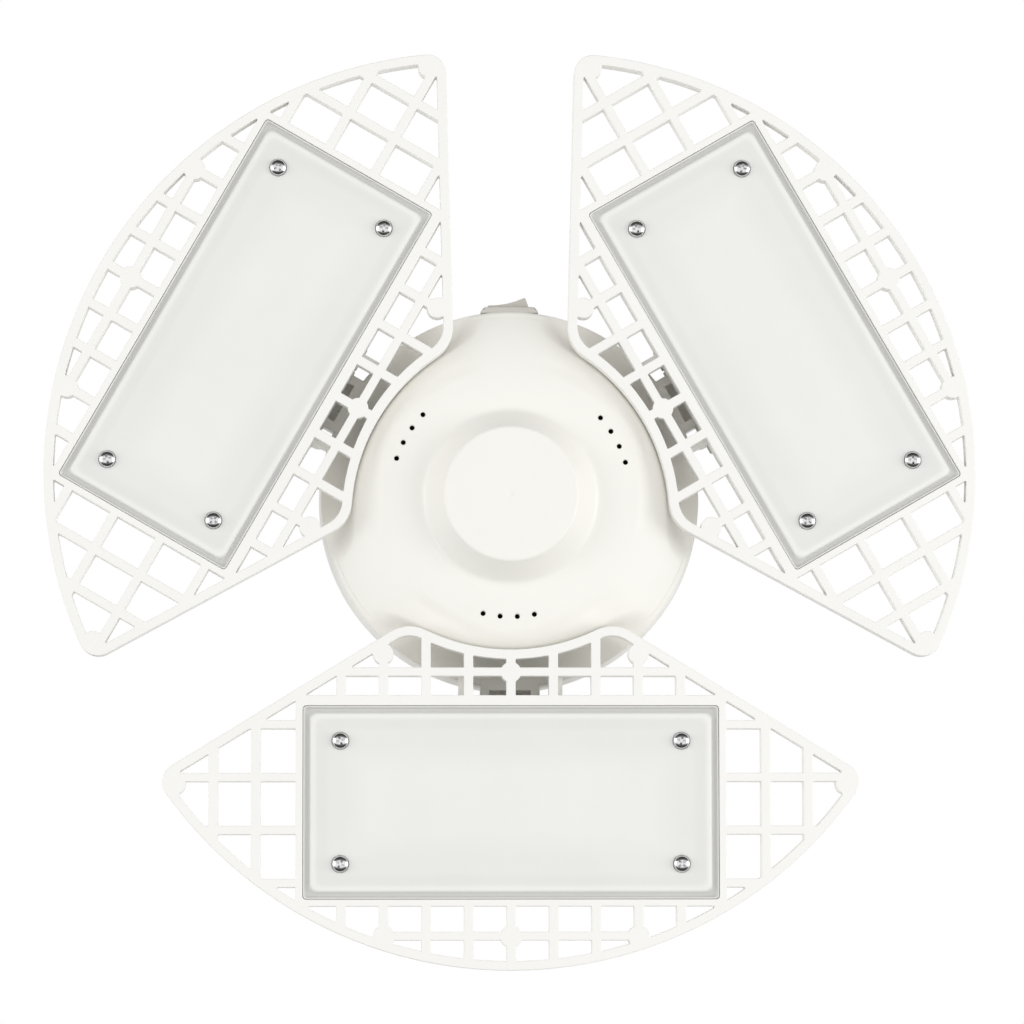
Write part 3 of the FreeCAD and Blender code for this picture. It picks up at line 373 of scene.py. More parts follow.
# ---------------------------------------------------------------- wing frames
def level_loops(me, w, deg, tol=0.02):
    """Closed outlines of a frame's flat faces at depth w, as wing-local points
    (v, u) in millimetres, the material on the left of each outline."""
    a = math.radians(-deg)
    ca, sa = math.cos(a), math.sin(a)
    spots, edges = {}, set()
    for p in me.polygons:
        cs = [me.vertices[i].co for i in p.vertices]
        if any(abs(c[2] * 1000 + W0 - w) > tol for c in cs):
            continue
        ks = []
        for c in cs:
            k = (round(c[0] * 1e6), round(c[1] * 1e6))
            spots.setdefault(k, (c[0] * 1000, c[1] * 1000))
            ks.append(k)
        for q in zip(ks, ks[1:] + ks[:1]):
            if q[0] != q[1]:
                edges.add(q)
    nxt = {}
    for q0, q1 in edges:
        if (q1, q0) not in edges:
            nxt.setdefault(q0, []).append(q1)
    for k in nxt:
        nxt[k].sort()
    loops = []
    while nxt:
        start = min(nxt)
        k, lp = start, []
        while k in nxt:
            lp.append(k)
            n = nxt[k].pop()
            if not nxt[k]:
                del nxt[k]
            k = n
            if k == start:
                break
        if k == start and len(lp) > 2:
            pts = [(spots[q][0] * ca - spots[q][1] * sa, spots[q][0] * sa + spots[q][1] * ca) for q in lp]
            loops.append(pts)
    loops.sort(key=lambda l: -abs(loop_area(l)))
    out = []
    for n, lp in enumerate(loops):
        lp = thin_out(lp)
        if (loop_area(lp) > 0) != (n == 0):
            lp.reverse()
        out.append(lp)
    return out


def loop_area(lp):
    return 0.5 * sum(a[0] * b[1] - b[0] * a[1] for a, b in zip(lp, lp[1:] + lp[:1]))


def thin_out(lp, d=0.02):
    """Drops doubled points and points in the middle of straight runs."""
    pts = [p for i, p in enumerate(lp) if math.hypot(p[0] - lp[i - 1][0], p[1] - lp[i - 1][1]) > d]
    out = []
    for i, p in enumerate(pts):
        a, b = pts[i - 1], pts[(i + 1) % len(pts)]
        ax, ay, bx, by = p[0] - a[0], p[1] - a[1], b[0] - p[0], b[1] - p[1]
        if abs(ax * by - ay * bx) > 2e-4 * math.hypot(ax, ay) * math.hypot(bx, by) or ax * bx + ay * by < 0:
            out.append(p)
    return out


def round_corners(lp, r, least=24.0):
    """Replaces sharp corners of an outline with short arcs of radius r."""
    out = []
    n = len(lp)
    for i, p in enumerate(lp):
        a, b = lp[i - 1], lp[(i + 1) % n]
        la, lb = math.hypot(p[0] - a[0], p[1] - a[1]), math.hypot(b[0] - p[0], b[1] - p[1])
        ta = ((p[0] - a[0]) / la, (p[1] - a[1]) / la)
        tb = ((b[0] - p[0]) / lb, (b[1] - p[1]) / lb)
        turn_by = math.atan2(ta[0] * tb[1] - ta[1] * tb[0], ta[0] * tb[0] + ta[1] * tb[1])
        if abs(turn_by) < math.radians(least):
            out.append(p)
            continue
        cut = min(r * math.tan(abs(turn_by) / 2), la * 0.4, lb * 0.4)
        p0 = (p[0] - ta[0] * cut, p[1] - ta[1] * cut)
        p1 = (p[0] + tb[0] * cut, p[1] + tb[1] * cut)
        for q in (0.0, 0.25, 0.5, 0.75, 1.0):
            k0, k1, k2 = (1 - q) ** 2, 2 * q * (1 - q), q * q
            out.append((k0 * p0[0] + k1 * p[0] + k2 * p1[0], k0 * p0[1] + k1 * p[1] + k2 * p1[1]))
    return out


class Shells:
    """Collects closed shells with a normal for each vertex."""

    def __init__(self):
        self.verts, self.normals, self.faces = [], [], []

    def slab(self, loops, t0, t1, bev0, bev1, place, inset=0.0):
        """A plate between t0 and t1 along the third direction. The first loop
        is its outline and the others are holes. bev0 and bev1 round the edges
        of its two faces."""
        rows = []
        if bev0 > 0:
            rows += [(t0, bev0, -1.0), (t0 + 0.13 * bev0, 0.5 * bev0, -0.866), (t0 + 0.5 * bev0, 0.13 * bev0, -0.5),
                     (t0 + bev0, 0.0, 0.0)]
        else:
            rows += [(t0, 0.0, None), (t0, 0.0, 0.0)]
        if bev1 > 0:
            rows += [(t1 - bev1, 0.0, 0.0), (t1 - 0.5 * bev1, 0.13 * bev1, 0.5), (t1 - 0.13 * bev1, 0.5 * bev1, 0.866),
                     (t1, bev1, 1.0)]
        else:
            rows += [(t1, 0.0, 0.0), (t1, 0.0, None)]
        firsts = []
        for lp in loops:
            n = len(lp)
            inward, length = [], []
            for i in range(n):
                a, b = lp[i], lp[(i + 1) % n]
                d = math.hypot(b[0] - a[0], b[1] - a[1])
                length.append(d)
                inward.append((-(b[1] - a[1]) / d, (b[0] - a[0]) / d))
            miter, smooth = [], []
            for i in range(n):
                e, f = inward[i - 1], inward[i]
                sx, sy = e[0] + f[0], e[1] + f[1]
                k = 2.0 / max(sx * sx + sy * sy, 0.8)
                miter.append((sx * k, sy * k))
                wa, wb = length[i - 1] ** 2, length[i] ** 2
                nx, ny = e[0] * wa + f[0] * wb, e[1] * wa + f[1] * wb
                d = math.hypot(nx, ny) or 1.0
                smooth.append((-nx / d, -ny / d))
            first = len(self.verts)
            for t, off, tilt in rows:
                for i in range(n):
                    o = off + inset
                    self.verts.append(place(lp[i][0] + miter[i][0] * o, lp[i][1] + miter[i][1] * o, t))
                    if tilt is None:
                        tilt_v = -1.0 if t == t0 else 1.0
                    else:
                        tilt_v = tilt
                    c = math.sqrt(max(1.0 - tilt_v * tilt_v, 0.0))
                    self.normals.append((smooth[i][0] * c, smooth[i][1] * c, tilt_v))
            for k in range(len(rows) - 1):
                if rows[k][2] is None or rows[k + 1][2] is None:
                    continue
                for i in range(n):
                    j = (i + 1) % n
                    self.faces.append((first + k * n + i, first + k * n + j, first + (k + 1) * n + j, first + (k + 1) * n + i))
            firsts.append((first, n))
        for last in (False, True):
            rows_k = len(rows) - 1 if last else 0
            flat, index = [], []
            for (first, n), lp in zip(firsts, loops):
                ids = [first + rows_k * n + i for i in range(n)]
                off = (rows[rows_k][1] + inset)
                flat.append([Vector((x, y, 0)) for x, y in self.offset(lp, off)])
                index += ids
            for tri in tessellate_polygon(flat):
                q = [index[i] for i in tri]
                co = [p for l in flat for p in l]
                a, b, c = (co[i] for i in tri)
                area2 = (b - a).cross(c - a).z
                if abs(area2) < 1e-9:
                    continue
                up = area2 > 0
                self.faces.append(tuple(q) if up == last else tuple(reversed(q)))
        return self

    @staticmethod
    def offset(lp, off):
        out = []
        n = len(lp)
        for i in range(n):
            a, p, b = lp[i - 1], lp[i], lp[(i + 1) % n]
            da, db = math.hypot(p[0] - a[0], p[1] - a[1]), math.hypot(b[0] - p[0], b[1] - p[1])
            e = (-(p[1] - a[1]) / da, (p[0] - a[0]) / da)
            f = (-(b[1] - p[1]) / db, (b[0] - p[0]) / db)
            sx, sy = e[0] + f[0], e[1] + f[1]
            k = 2.0 / max(sx * sx + sy * sy, 0.8)
            out.append((p[0] + sx * k * off, p[1] + sy * k * off))
        return out

    def build(self, name, mat, body):
        me = bpy.data.meshes.new(name)
        me.from_pydata(self.verts, [], self.faces)
        me.update()
        for p in me.polygons:
            p.use_smooth = True
        me.normals_split_custom_set_from_vertices(self.normals)
        o = bpy.data.objects.new(name, me)
        bpy.context.scene.collection.objects.link(o)
        me.materials.append(mat)
        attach(o, body)
        return o


def circle(cx, cy, r, n, hole=False):
    pts = [(cx + r * math.cos(2 * math.pi * i / n), cy + r * math.sin(2 * math.pi * i / n)) for i in range(n)]
    return pts[::-1] if hole else pts


def ear_outline():
    pts = [(62.5, 7.0), (74.0, 7.0), (74.0, 11.2), (89.0, 11.2), (89.0, 12.0), (81.6, 23.3)]
    for i in range(1, 16):
        a = math.radians(30.5 + (183.5 - 30.5) * i / 16)
        pts.append((76.0 + 6.5 * math.cos(a), 20.0 + 6.5 * math.sin(a)))
    pts += [(67.8, 12.0), (62.5, 8.6)]
    return pts


def wing_frame(w, deg):
    me = NODES[w + "_frame"].data
    a = math.radians(deg)
    ca, sa = math.cos(a), math.sin(a)

    def flat(x, y, t):
        return mm(x * ca - y * sa, x * sa + y * ca, t)

    def upright(v, d, t):
        return flat(v, t, d)

    sh = Shells()
    face = level_loops(me, 0.0, deg)
    sh.slab([round_corners(l, 0.35) for l in face], 0.0, 8.0, 0.38, 0.30, flat)
    # the tray's wall and floor behind the lattice
    rect = [(71.7, -77.1), (147.2, -77.1), (147.2, 77.1), (71.7, 77.1)]
    rect = round_corners(rect, 1.6)
    pocket = round_corners([(75.4, -74.6), (144.7, -74.6), (144.7, 74.6), (75.4, 74.6)], 1.3)[::-1]
    sh.slab([rect, pocket], 5.0, 10.0, 0.0, 0.0, flat, inset=0.05)
    bores = [circle(110.05 + sv * 22.04, su * 61.1, 1.5, 24, True) for su in (-1, 1) for sv in (-1, 1)]
    sh.slab([rect] + bores + [circle(94.0, 7.6, 2.6, 32, True)], 10.0, 12.0, 0.0, 0.35, flat, inset=0.05)
    # the crossing ribs on the tray's back
    ribs = [(86.5 if k == 0 else 71.7 + (14.0 if abs(k) == 1 else 0.5), 146.7, k * 15.22 - 0.8, k * 15.22 + 0.8)
            for k in range(-4, 5)]
    ribs += [(110.55 + (k + 0.5) * 18.9 - 0.8, 110.55 + (k + 0.5) * 18.9 + 0.8, -76.6, 76.6) for k in (-1, 0, 1)]
    for v0, v1, u0, u1 in ribs:
        bar = round_corners([(v0, u0), (v1, u0), (v1, u1), (v0, u1)], 0.2)
        # the bars across stop a hair lower, so that no two tops lie in one plane
        sh.slab([bar], 11.4, 14.0 if v1 - v0 > 10 else 13.95, 0.0, 0.22, flat)
    for su in (-1, 1):
        for sv in (-1, 1):
            c = (110.05 + sv * 22.04, su * 61.1)
            sh.slab([circle(c[0], c[1], 3.42, 40), circle(c[0], c[1], 1.5, 24, True)], 11.0, 14.9, 0.0, 0.0, flat)
            sh.slab([circle(c[0], c[1], 3.42, 40)], 14.9, 16.0, 0.0, 0.3, flat)
    n_flat = len(sh.normals)
    ear = round_corners(ear_outline(), 0.5)
    for y0, y1 in ((-18.7, -15.5), (15.5, 18.7)):
        sh.slab([ear, circle(76.0, 20.0, 2.05, 36, True)], y0, y1, 0.3, 0.3, upright)
    for i, (x, y, t) in enumerate(sh.normals):
        if i < n_flat:
            nx, ny, nz = x, y, t
        else:
            nx, ny, nz = x, t, y
        sh.normals[i] = (nx * ca - ny * sa, nx * sa + ny * ca, nz)
    # (v, w, u) is a left-handed set, so the ears' faces turn the other way
    sh.faces = [tuple(reversed(f)) if f[0] >= n_flat else f for f in sh.faces]
    o = sh.build(w + "_lattice_frame", m_lattice, w)
    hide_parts(w + "_frame")
    return o


for w, deg in WINGS:
    wing_frame(w, deg)


# ------------------------------------------------------------------ lens pans
def rr_loop(hu, hv, r, n=9):
    """Points (u, v) of a rounded rectangle with half sizes hu, hv."""
    out = []
    r = max(r, 0.05)
    for cx, cy, a0 in ((hu - r, hv - r, 0), (-hu + r, hv - r, 90), (-hu + r, -hv + r, 180), (hu - r, -hv + r, 270)):
        for i in range(n):
            a = math.radians(a0 + 90.0 * i / (n - 1))
            out.append((cx + r * math.cos(a), cy + r * math.sin(a)))
    return out


LENS_V, LENS_HU, LENS_HV = 110.05, 74.45, 34.5
SCREW_U, SCREW_V = 61.1, 22.04


def lens_pan(name, deg, mat):
    """A shallow pan as nested rounded rectangles, from the inside of its skirt
    over the sloping side and the rolled shoulder to the flat face."""
    rings = [  # inset, depth w, corner radius, tone (painted shade: lowest in the groove and on the slopes, a little darker near the rim than at the middle)
        (2.6, 4.6, 1.0, 0.7), (0.0, 4.6, 1.15, 0.7), (0.0, 0.95, 1.15, 0.86), (0.06, 0.78, 1.15, 0.86), (0.18, 0.70, 1.1, 0.85),
        (0.40, 0.72, 1.0, 0.78), (0.55, 0.95, 1.0, 0.66), (0.75, 1.35, 1.1, 0.61), (1.05, 1.62, 1.3, 0.60), (1.75, 1.64, 2.0, 0.60),
        (2.1, 1.50, 2.4, 0.62), (2.4, 1.15, 2.6, 0.70), (2.65, 0.85, 2.7, 0.78), (2.95, 0.64, 2.7, 0.84), (3.45, 0.55, 2.7, 0.85),
        (4.1, 0.56, 2.6, 0.84), (4.7, 0.62, 2.6, 0.80), (5.5, 0.69, 2.6, 0.775), (7.5, 0.69, 2.6, 0.775),
        (10.0, 0.69, 2.8, 0.80), (14.0, 0.69, 3.0, 0.825), (24.0, 0.69, 3.0, 0.835)]
    verts, shade_tones, faces = [], [], []
    n = len(rr_loop(10, 10, 1))
    for ins, w, r, shade_tone in rings:
        for u, v in rr_loop(LENS_HU - ins, LENS_HV - ins, r):
            verts.append((u, v, w))
            shade_tones.append(shade_tone)
    for k in range(len(rings) - 1):
        for i in range(n):
            j = (i + 1) % n
            faces.append((k * n + i, k * n + j, (k + 1) * n + j, (k + 1) * n + i))
    faces.append(tuple(range((len(rings) - 1) * n, len(rings) * n)))
    # the back, 1.8 mm behind the face
    base = len(verts)
    back = [(2.6, 4.6, 1.0), (3.4, 3.6, 1.6), (5.6, 2.5, 4.6), (8.0, 2.45, 5.0)]
    for ins, w, r in back[1:]:
        for u, v in rr_loop(LENS_HU - ins, LENS_HV - ins, r):
            verts.append((u, v, w))
            shade_tones.append(0.7)
    rows = [0] + [base + i * n for i in range(len(back) - 1)]
    for k in range(len(rows) - 1):
        for i in range(n):
            j = (i + 1) % n
            faces.append((rows[k] + i, rows[k + 1] + i, rows[k + 1] + j, rows[k] + j))
    faces.append(tuple(rows[-1] + i for i in reversed(range(n))))
    a = math.radians(deg)
    ca, sa = math.cos(a), math.sin(a)
    pts = []
    for u, v, w in verts:
        x, y = LENS_V + v, u
        pts.append(mm(x * ca - y * sa, x * sa + y * ca, w))
    o = make_object(name, pts, faces, mat, None)
    # the tone of each point becomes the edge attribute, the lens's painted shade
    at = o.data.attributes.new("edge", "FLOAT", "POINT")
    at.data.foreach_set("value", shade_tones)
    return o


def evaluated(o, name, body, mat, smooth_angle=None):
    """A new object with o's modifiers applied; o is removed."""
    dg = bpy.context.evaluated_depsgraph_get()
    me = bpy.data.meshes.new_from_object(o.evaluated_get(dg), depsgraph=dg)
    me.name = name
    new = bpy.data.objects.new(name, me)
    bpy.context.scene.collection.objects.link(new)
    old = o.data
    bpy.data.objects.remove(o)
    bpy.data.meshes.remove(old)
    if body:
        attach(new, body)
    return new


def cutter_tube(points_r_w, deg, cx, cy, n=40, axis="Z"):
    """Closed solid of revolution about a line along Z, from (r, w) points."""
    verts, faces = [], []
    a = math.radians(deg)
    ca, sa = math.cos(a), math.sin(a)
    for r, w in points_r_w:
        for i in range(n):
            t = 2 * math.pi * i / n
            x, y = cx + r * math.cos(t), cy + r * math.sin(t)
            verts.append(mm(x * ca - y * sa, x * sa + y * ca, w))
    m = len(points_r_w)
    for k in range(m - 1):
        for i in range(n):
            j = (i + 1) % n
            faces.append((k * n + i, k * n + j, (k + 1) * n + j, (k + 1) * n + i))
    faces.append(tuple(reversed(range(n))))
    faces.append(tuple((m - 1) * n + i for i in range(n)))
    return verts, faces


def plain(name, verts, faces):
    me = bpy.data.meshes.new(name)
    me.from_pydata(verts, [], faces)
    me.update()
    bm = bmesh.new()
    bm.from_mesh(me)
    bmesh.ops.recalc_face_normals(bm, faces=bm.faces)
    bm.to_mesh(me)
    bm.free()
    o = bpy.data.objects.new(name, me)
    bpy.context.scene.collection.objects.link(o)
    return o


def join_plain(name, parts):
    verts, faces = [], []
    for v, f in parts:
        b = len(verts)
        verts += v
        faces += [tuple(i + b for i in q) for q in f]
    return plain(name, verts, faces)


def boolean(o, tool, op):
    m = o.modifiers.new("bool", "BOOLEAN")
    m.operation = op
    m.solver = "EXACT"
    m.object = tool


for w, deg in WINGS:
    lens = lens_pan("tmp_" + w, deg, m_lens)
    holes, sleeves = [], []
    for su in (-1, 1):
        for sv in (-1, 1):
            cx, cy = LENS_V + sv * SCREW_V, su * SCREW_U
            sleeves.append(cutter_tube([(3.9, 8.4), (3.9, 1.5)], deg, cx, cy))
            # a moulded seat ring round the screw and its through hole
            holes.append(cutter_tube([(1.6, 9.0), (1.6, 1.5), (3.12, 1.5), (3.14, 0.86), (3.22, 0.72), (3.42, 0.66), (3.6, 0.55), (3.6, -0.5)], deg, cx, cy, 48))
    s_ob = join_plain("tool_s_" + w, sleeves)
    h_ob = join_plain("tool_h_" + w, holes)
    boolean(lens, s_ob, "UNION")
    boolean(lens, h_ob, "DIFFERENCE")
    lens = evaluated(lens, w + "_lens_pan", w, m_lens)
    for p in lens.data.polygons:
        p.use_smooth = True
    lens.data.set_sharp_from_angle(angle=math.radians(32))
    # the cut surfaces round each screw take the face's painted shade tone
    ar = math.radians(deg)
    shade_tone = lens.data.attributes["edge"].data
    for v in lens.data.vertices:
        lv = v.co.x * 1000 * math.cos(ar) + v.co.y * 1000 * math.sin(ar)
        lu = -v.co.x * 1000 * math.sin(ar) + v.co.y * 1000 * math.cos(ar)
        if math.hypot(abs(lu) - SCREW_U, abs(lv - LENS_V) - SCREW_V) < 4.6:
            shade_tone[v.index].value = 0.80
    for tool in (s_ob, h_ob):
        bpy.data.objects.remove(tool)
    wn = lens.modifiers.new("normals", "WEIGHTED_NORMAL")
    wn.weight = 60
    wn.keep_sharp = True
    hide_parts(w + "_lens")


# ---------------------------------------------------------------- lens screws
def tapered_cross(deg, cx, cy, spin, w_top, w_end, half, thick):
    """Two crossing tapered blades, the recess of a cross-head screw."""
    a = math.radians(deg)
    ca, sa = math.cos(a), math.sin(a)
    parts = []
    for extra in (0.0, 90.0):
        b = math.radians(spin + extra)
        cb, sb = math.cos(b), math.sin(b)
        verts = []
        for w, h, t in ((w_top, half * 1.06, thick * 1.05), (w_end, half * 0.30, thick * 0.7)):
            for x, y in ((-h, -t), (h, -t), (h, t), (-h, t)):
                px, py = cx + x * cb - y * sb, cy + x * sb + y * cb
                verts.append(mm(px * ca - py * sa, px * sa + py * ca, w))
        faces = [(0, 1, 2, 3), (7, 6, 5, 4), (0, 4, 5, 1), (1, 5, 6, 2), (2, 6, 7, 3), (3, 7, 4, 0)]
        parts.append((verts, faces))
    return parts


def screws(w, deg):
    """Four chromed pan-head screws: domed head, rolled edge, plain shank."""
    heads, recess = [], []
    spins = (12.0, 47.0, 71.0, 28.0)
    for k, (su, sv) in enumerate(((-1, -1), (-1, 1), (1, -1), (1, 1))):
        cx, cy = LENS_V + sv * SCREW_V, su * SCREW_U
        prof = [(0.02, 14.3), (0.6, 14.3), (1.5, 13.3), (1.5, 0.55), (2.6, 0.52), (2.82, 0.46), (2.9, 0.30), (2.9, -0.12)]
        for i in range(1, 15):
            q = i / 15.0
            prof.append((2.9 * math.cos(q * math.pi / 2) ** 0.72, -0.12 - 1.26 * math.sin(q * math.pi / 2) ** 1.15))
        prof.append((0.02, -1.38))
        heads.append(cutter_tube(prof, deg, cx, cy, 48))
        recess.append(tapered_cross(deg, cx, cy, spins[k], -1.6, 0.15, 1.75, 0.40))
    o = join_plain("tmp_screws_" + w, heads)
    tools = []
    for n in (0, 1):
        t = join_plain("tool_x%d_%s" % (n, w), [r[n] for r in recess])
        boolean(o, t, "DIFFERENCE")
        tools.append(t)
    o = evaluated(o, w + "_pan_screws", w, m_chrome)
    for t in tools:
        bpy.data.objects.remove(t)
    set_material(o, m_chrome)
    for p in o.data.polygons:
        p.use_smooth = True
    o.data.set_sharp_from_angle(angle=math.radians(38))
    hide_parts(w + "_lens_screws")


for w, deg in WINGS:
    screws(w, deg)


# ------------------------------------------------------------ hub front shell
POCKET_W = 13.62


def smin(a, b, k):
    h = max(k - abs(a - b), 0.0) / k
    return min(a, b) - h * h * k / 4.0


def step(t):
    t = min(max(t, 0.0), 1.0)
    return t * t * (3 - 2 * t)


def hub_depth(r, deg):
    """Depth w of the hub's front at radius r, deg from a wing's direction."""
    dome = 1.5 + 0.00818 * max(r - 31.0, 0.0) ** 2
    fold_r = 45.8 + 2.8 * 0.5 * (1 + math.cos(math.pi * min(abs(deg) / 28.0, 1.0)))
    dome += 0.9 * step((r - fold_r) / 4.8) * step((50.0 - abs(deg)) / 14.0)
    a = math.radians(deg)
    along = math.hypot(r * math.cos(a) + 14.7, r * math.sin(a)) - 68.6
    s = abs(r * math.sin(math.radians(60.0 - abs(deg))))
    m = step(smin(along / 4.6, (s - 10.5) / 8.5, 1.6))
    return dome + m * (POCKET_W - dome)


def off_wing(a):
    """Angle from the nearest wing's direction for the angle a in the row frame."""
    return min(((a - d + 180.0) % 360.0 - 180.0 for _, d in WINGS), key=abs)


def hub_front():
    boss = [(0.62, -9.34), (0.8, -9.44), (1.05, -9.5), (3.0, -9.5), (10.0, -9.5), (18.0, -9.5), (22.6, -9.5), (23.3, -9.49),
            (23.75, -9.42), (24.1, -9.25), (24.38, -8.95), (24.62, -8.5), (25.6, -6.95), (26.9, -4.9), (28.2, -2.85),
            (29.4, -0.95), (29.95, -0.15), (30.4, 0.45), (30.9, 0.95), (31.5, 1.3), (32.2, 1.47), (33.2, 1.55)]
    nt = 480
    cols = [360.0 * j / nt for j in range(nt)]
    dev = [off_wing(a) for a in cols]
    trig = [(math.cos(math.radians(a)), math.sin(math.radians(a))) for a in cols]
    outer, inner = [], []
    for r, w in boss:
        outer.append([(r, w)] * nt)
        inner.append([(r * 30.6 / 33.2, w + 2.5)] * nt)
    n_r = 66
    for i in range(1, n_r + 1):
        r = 33.2 + (66.05 - 33.2) * i / n_r
        ri = 30.6 + (65.6 - 30.6) * i / n_r
        outer.append([(r, hub_depth(r, dv)) for dv in dev])
        inner.append([(ri, hub_depth(ri, dv) + 2.5) for dv in dev])
    arc = []
    for q in (0, 8, 20, 35, 50, 65, 80, 90):
        a = math.radians(q)
        arc.append((66.1 + 2.2 * math.sin(a), 12.1 + 2.2 * (1 - math.cos(a))))
    for r, w in arc:
        outer.append([(r, max(w, hub_depth(min(r, 68.3), dv) + 0.02 * (r - 66.1))) for dv in dev])
    for w in (16.4, 18.5, 21.0, 25.0, 29.2, 29.75):
        outer.append([(68.3 + 0.7 * (w - 13.0) / 17.5, w)] * nt)
    outer.append([(68.95, 30.0)] * nt)
    outer.append([(68.75, 30.25)] * nt)
    outer.append([(68.55, 30.5)] * nt)
    inner.append([(65.8, max(17.2, hub_depth(65.8, dv) + 3.4)) for dv in dev])
    inner.append([(66.0, 22.0)] * nt)
    inner.append([(66.5, 30.5)] * nt)
    verts, faces = [], []

    def lay(rows):
        first = len(verts)
        for row in rows:
            for (r, w), (c, s) in zip(row, trig):
                verts.append(mm(r * c, r * s, w))
        for k in range(len(rows) - 1):
            for j in range(nt):
                q = (j + 1) % nt
                faces.append((first + k * nt + j, first + k * nt + q, first + (k + 1) * nt + q, first + (k + 1) * nt + j))
        return first

    o0 = lay(outer)
    i0 = lay(inner)
    # the centre of both skins
    verts.append(mm(0, 0, -9.28))
    c_out = len(verts) - 1
    verts.append(mm(0, 0, -7.0))
    c_in = len(verts) - 1
    for j in range(nt):
        q = (j + 1) % nt
        faces.append((c_out, o0 + q, o0 + j))
        faces.append((c_in, i0 + j, i0 + q))
    # the edge that meets the rear cover
    lo, li = o0 + (len(outer) - 1) * nt, i0 + (len(inner) - 1) * nt
    for j in range(nt):
        q = (j + 1) % nt
        faces.append((lo + j, lo + q, li + q, li + j))
    return verts, faces


def prism(pts, y0, y1, deg, round_r=0.0):
    """Prism along the wing's u from points (v, w), turned by deg."""
    a = math.radians(deg)
    ca, sa = math.cos(a), math.sin(a)
    verts, faces = [], []
    n = len(pts)
    for y in (y0, y1):
        for v, w in pts:
            verts.append(mm(v * ca - y * sa, v * sa + y * ca, w))
    for i in range(n):
        j = (i + 1) % n
        faces.append((i, j, n + j, n + i))
    faces.append(tuple(reversed(range(n))))
    faces.append(tuple(range(n, 2 * n)))
    return verts, faces


def u_tube(r, y0, y1, deg, v=76.0, w=20.0, n=48):
    pts = [(v + r * math.cos(2 * math.pi * i / n), w + r * math.sin(2 * math.pi * i / n)) for i in range(n)]
    return prism(pts, y0, y1, deg)


def v_tube(r, v0, v1, deg, w=20.0, n=40):
    a = math.radians(deg)
    ca, sa = math.cos(a), math.sin(a)
    verts, faces = [], []
    for v in (v0, v1):
        for i in range(n):
            t = 2 * math.pi * i / n
            y = r * math.cos(t)
            verts.append(mm(v * ca - y * sa, v * sa + y * ca, w + r * math.sin(t)))
    for i in range(n):
        j = (i + 1) % n
        faces.append((i, j, n + j, n + i))
    faces.append(tuple(reversed(range(n))))
    faces.append(tuple(range(n, 2 * n)))
    return verts, faces


def knuckle_profile(r=6.5, v0=64.8):
    pts = [(v0, 20 - r), (76.0, 20 - r)]
    for i in range(1, 24):
        a = math.radians(-90 + 180.0 * i / 24)
        pts.append((76.0 + r * math.cos(a), 20 + r * math.sin(a)))
    pts += [(76.0, 20 + r), (v0, 20 + r)]
    return pts


def rounded_prism(parts, name, width):
    """The knuckle lugs with rounded edges, as their own closed mesh."""
    o = join_plain(name, parts)
    b = o.modifiers.new("round", "BEVEL")
    b.width = width
    b.segments = 2
    b.limit_method = "ANGLE"
    b.angle_limit = math.radians(40)
    return o


def hub_shell_piece():
    v, f = hub_front()
    hub = plain("tmp_hub", v, f)
    tools = []
    for k, (w, deg) in enumerate(WINGS):
        # two lugs and the web behind them
        lug = [(64.8, 13.5), (76.0, 13.5)] + [(76.0 + 6.5 * math.cos(math.radians(a)), 20 + 6.5 * math.sin(math.radians(a)))
                                              for a in range(-84, 35, 6)]
        body = rounded_prism([prism(knuckle_profile(), -10.7, 10.7, deg)], "tool_k%d" % k, 0.0005)
        room = plain("tool_r%d" % k, *prism([(69.2, 0.0), (96.0, 0.0), (96.0, 23.7), (69.2, 23.7)], -7.5, 7.5, deg))
        boolean(body, room, "DIFFERENCE")
        bore = plain("tool_b%d" % k, *u_tube(2.06, -20, 20, deg))
        boolean(body, bore, "DIFFERENCE")
        tools += [body, room, bore]
        boolean(hub, body, "UNION")
        passage = plain("tool_p%d" % k, *v_tube(3.0, 60.3, 72.3, deg))
        boolean(hub, passage, "DIFFERENCE")
        tools.append(passage)
    vents = []
    for _, d in WINGS:
        for q in (-1.5, -0.5, 0.5, 1.5):
            a = math.radians(d + 0.95 + q * 8.2)
            vents.append(cutter_tube([(0.9, 9.0), (0.9, 3.3), (0.94, 3.05), (1.15, 2.6), (1.15, 1.0)], 0.0,
                                     43.3 * math.cos(a), 43.3 * math.sin(a), 28))
    vt = join_plain("tool_vents", vents)
    boolean(hub, vt, "DIFFERENCE")
    seat = plain("tool_seat", *box_mesh(-11.6, 11.6, 68.0, 76.0, 22.3 - 7.9, 22.3 + 7.9))
    well = plain("tool_well", *box_mesh(-9.7, 9.7, 56.0, 76.0, 22.3 - 6.5, 22.3 + 6.5))
    boolean(hub, seat, "DIFFERENCE")
    boolean(hub, well, "DIFFERENCE")
    hub = evaluated(hub, "hub_front_housing", "hub", m_housing)
    for o in tools + [vt, seat, well]:
        bpy.data.objects.remove(o)
    set_material(hub, m_housing)
    for p in hub.data.polygons:
        p.use_smooth = True
    hub.data.set_sharp_from_angle(angle=math.radians(34))
    return hub


def box_mesh(x0, x1, y0, y1, w0, w1):
    v = [mm(x, y, w) for w in (w0, w1) for y in (y0, y1) for x in (x0, x1)]
    f = [(0, 2, 3, 1), (4, 5, 7, 6), (0, 1, 5, 4), (2, 6, 7, 3), (0, 4, 6, 2), (1, 3, 7, 5)]
    return v, f


hub = hub_shell_piece()
wn = hub.modifiers.new("normals", "WEIGHTED_NORMAL")
wn.weight = 50
wn.keep_sharp = True
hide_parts("hub_front_shell")

# ------------------------------------------------------- camera and the stage
AX, AY, RZ = math.radians(-5.0), math.radians(-1.5), math.radians(0.05)
TARGET = Vector((-0.00045, -0.0058, -0.0945))
DIST, FOCAL = 2.0, 5564.0


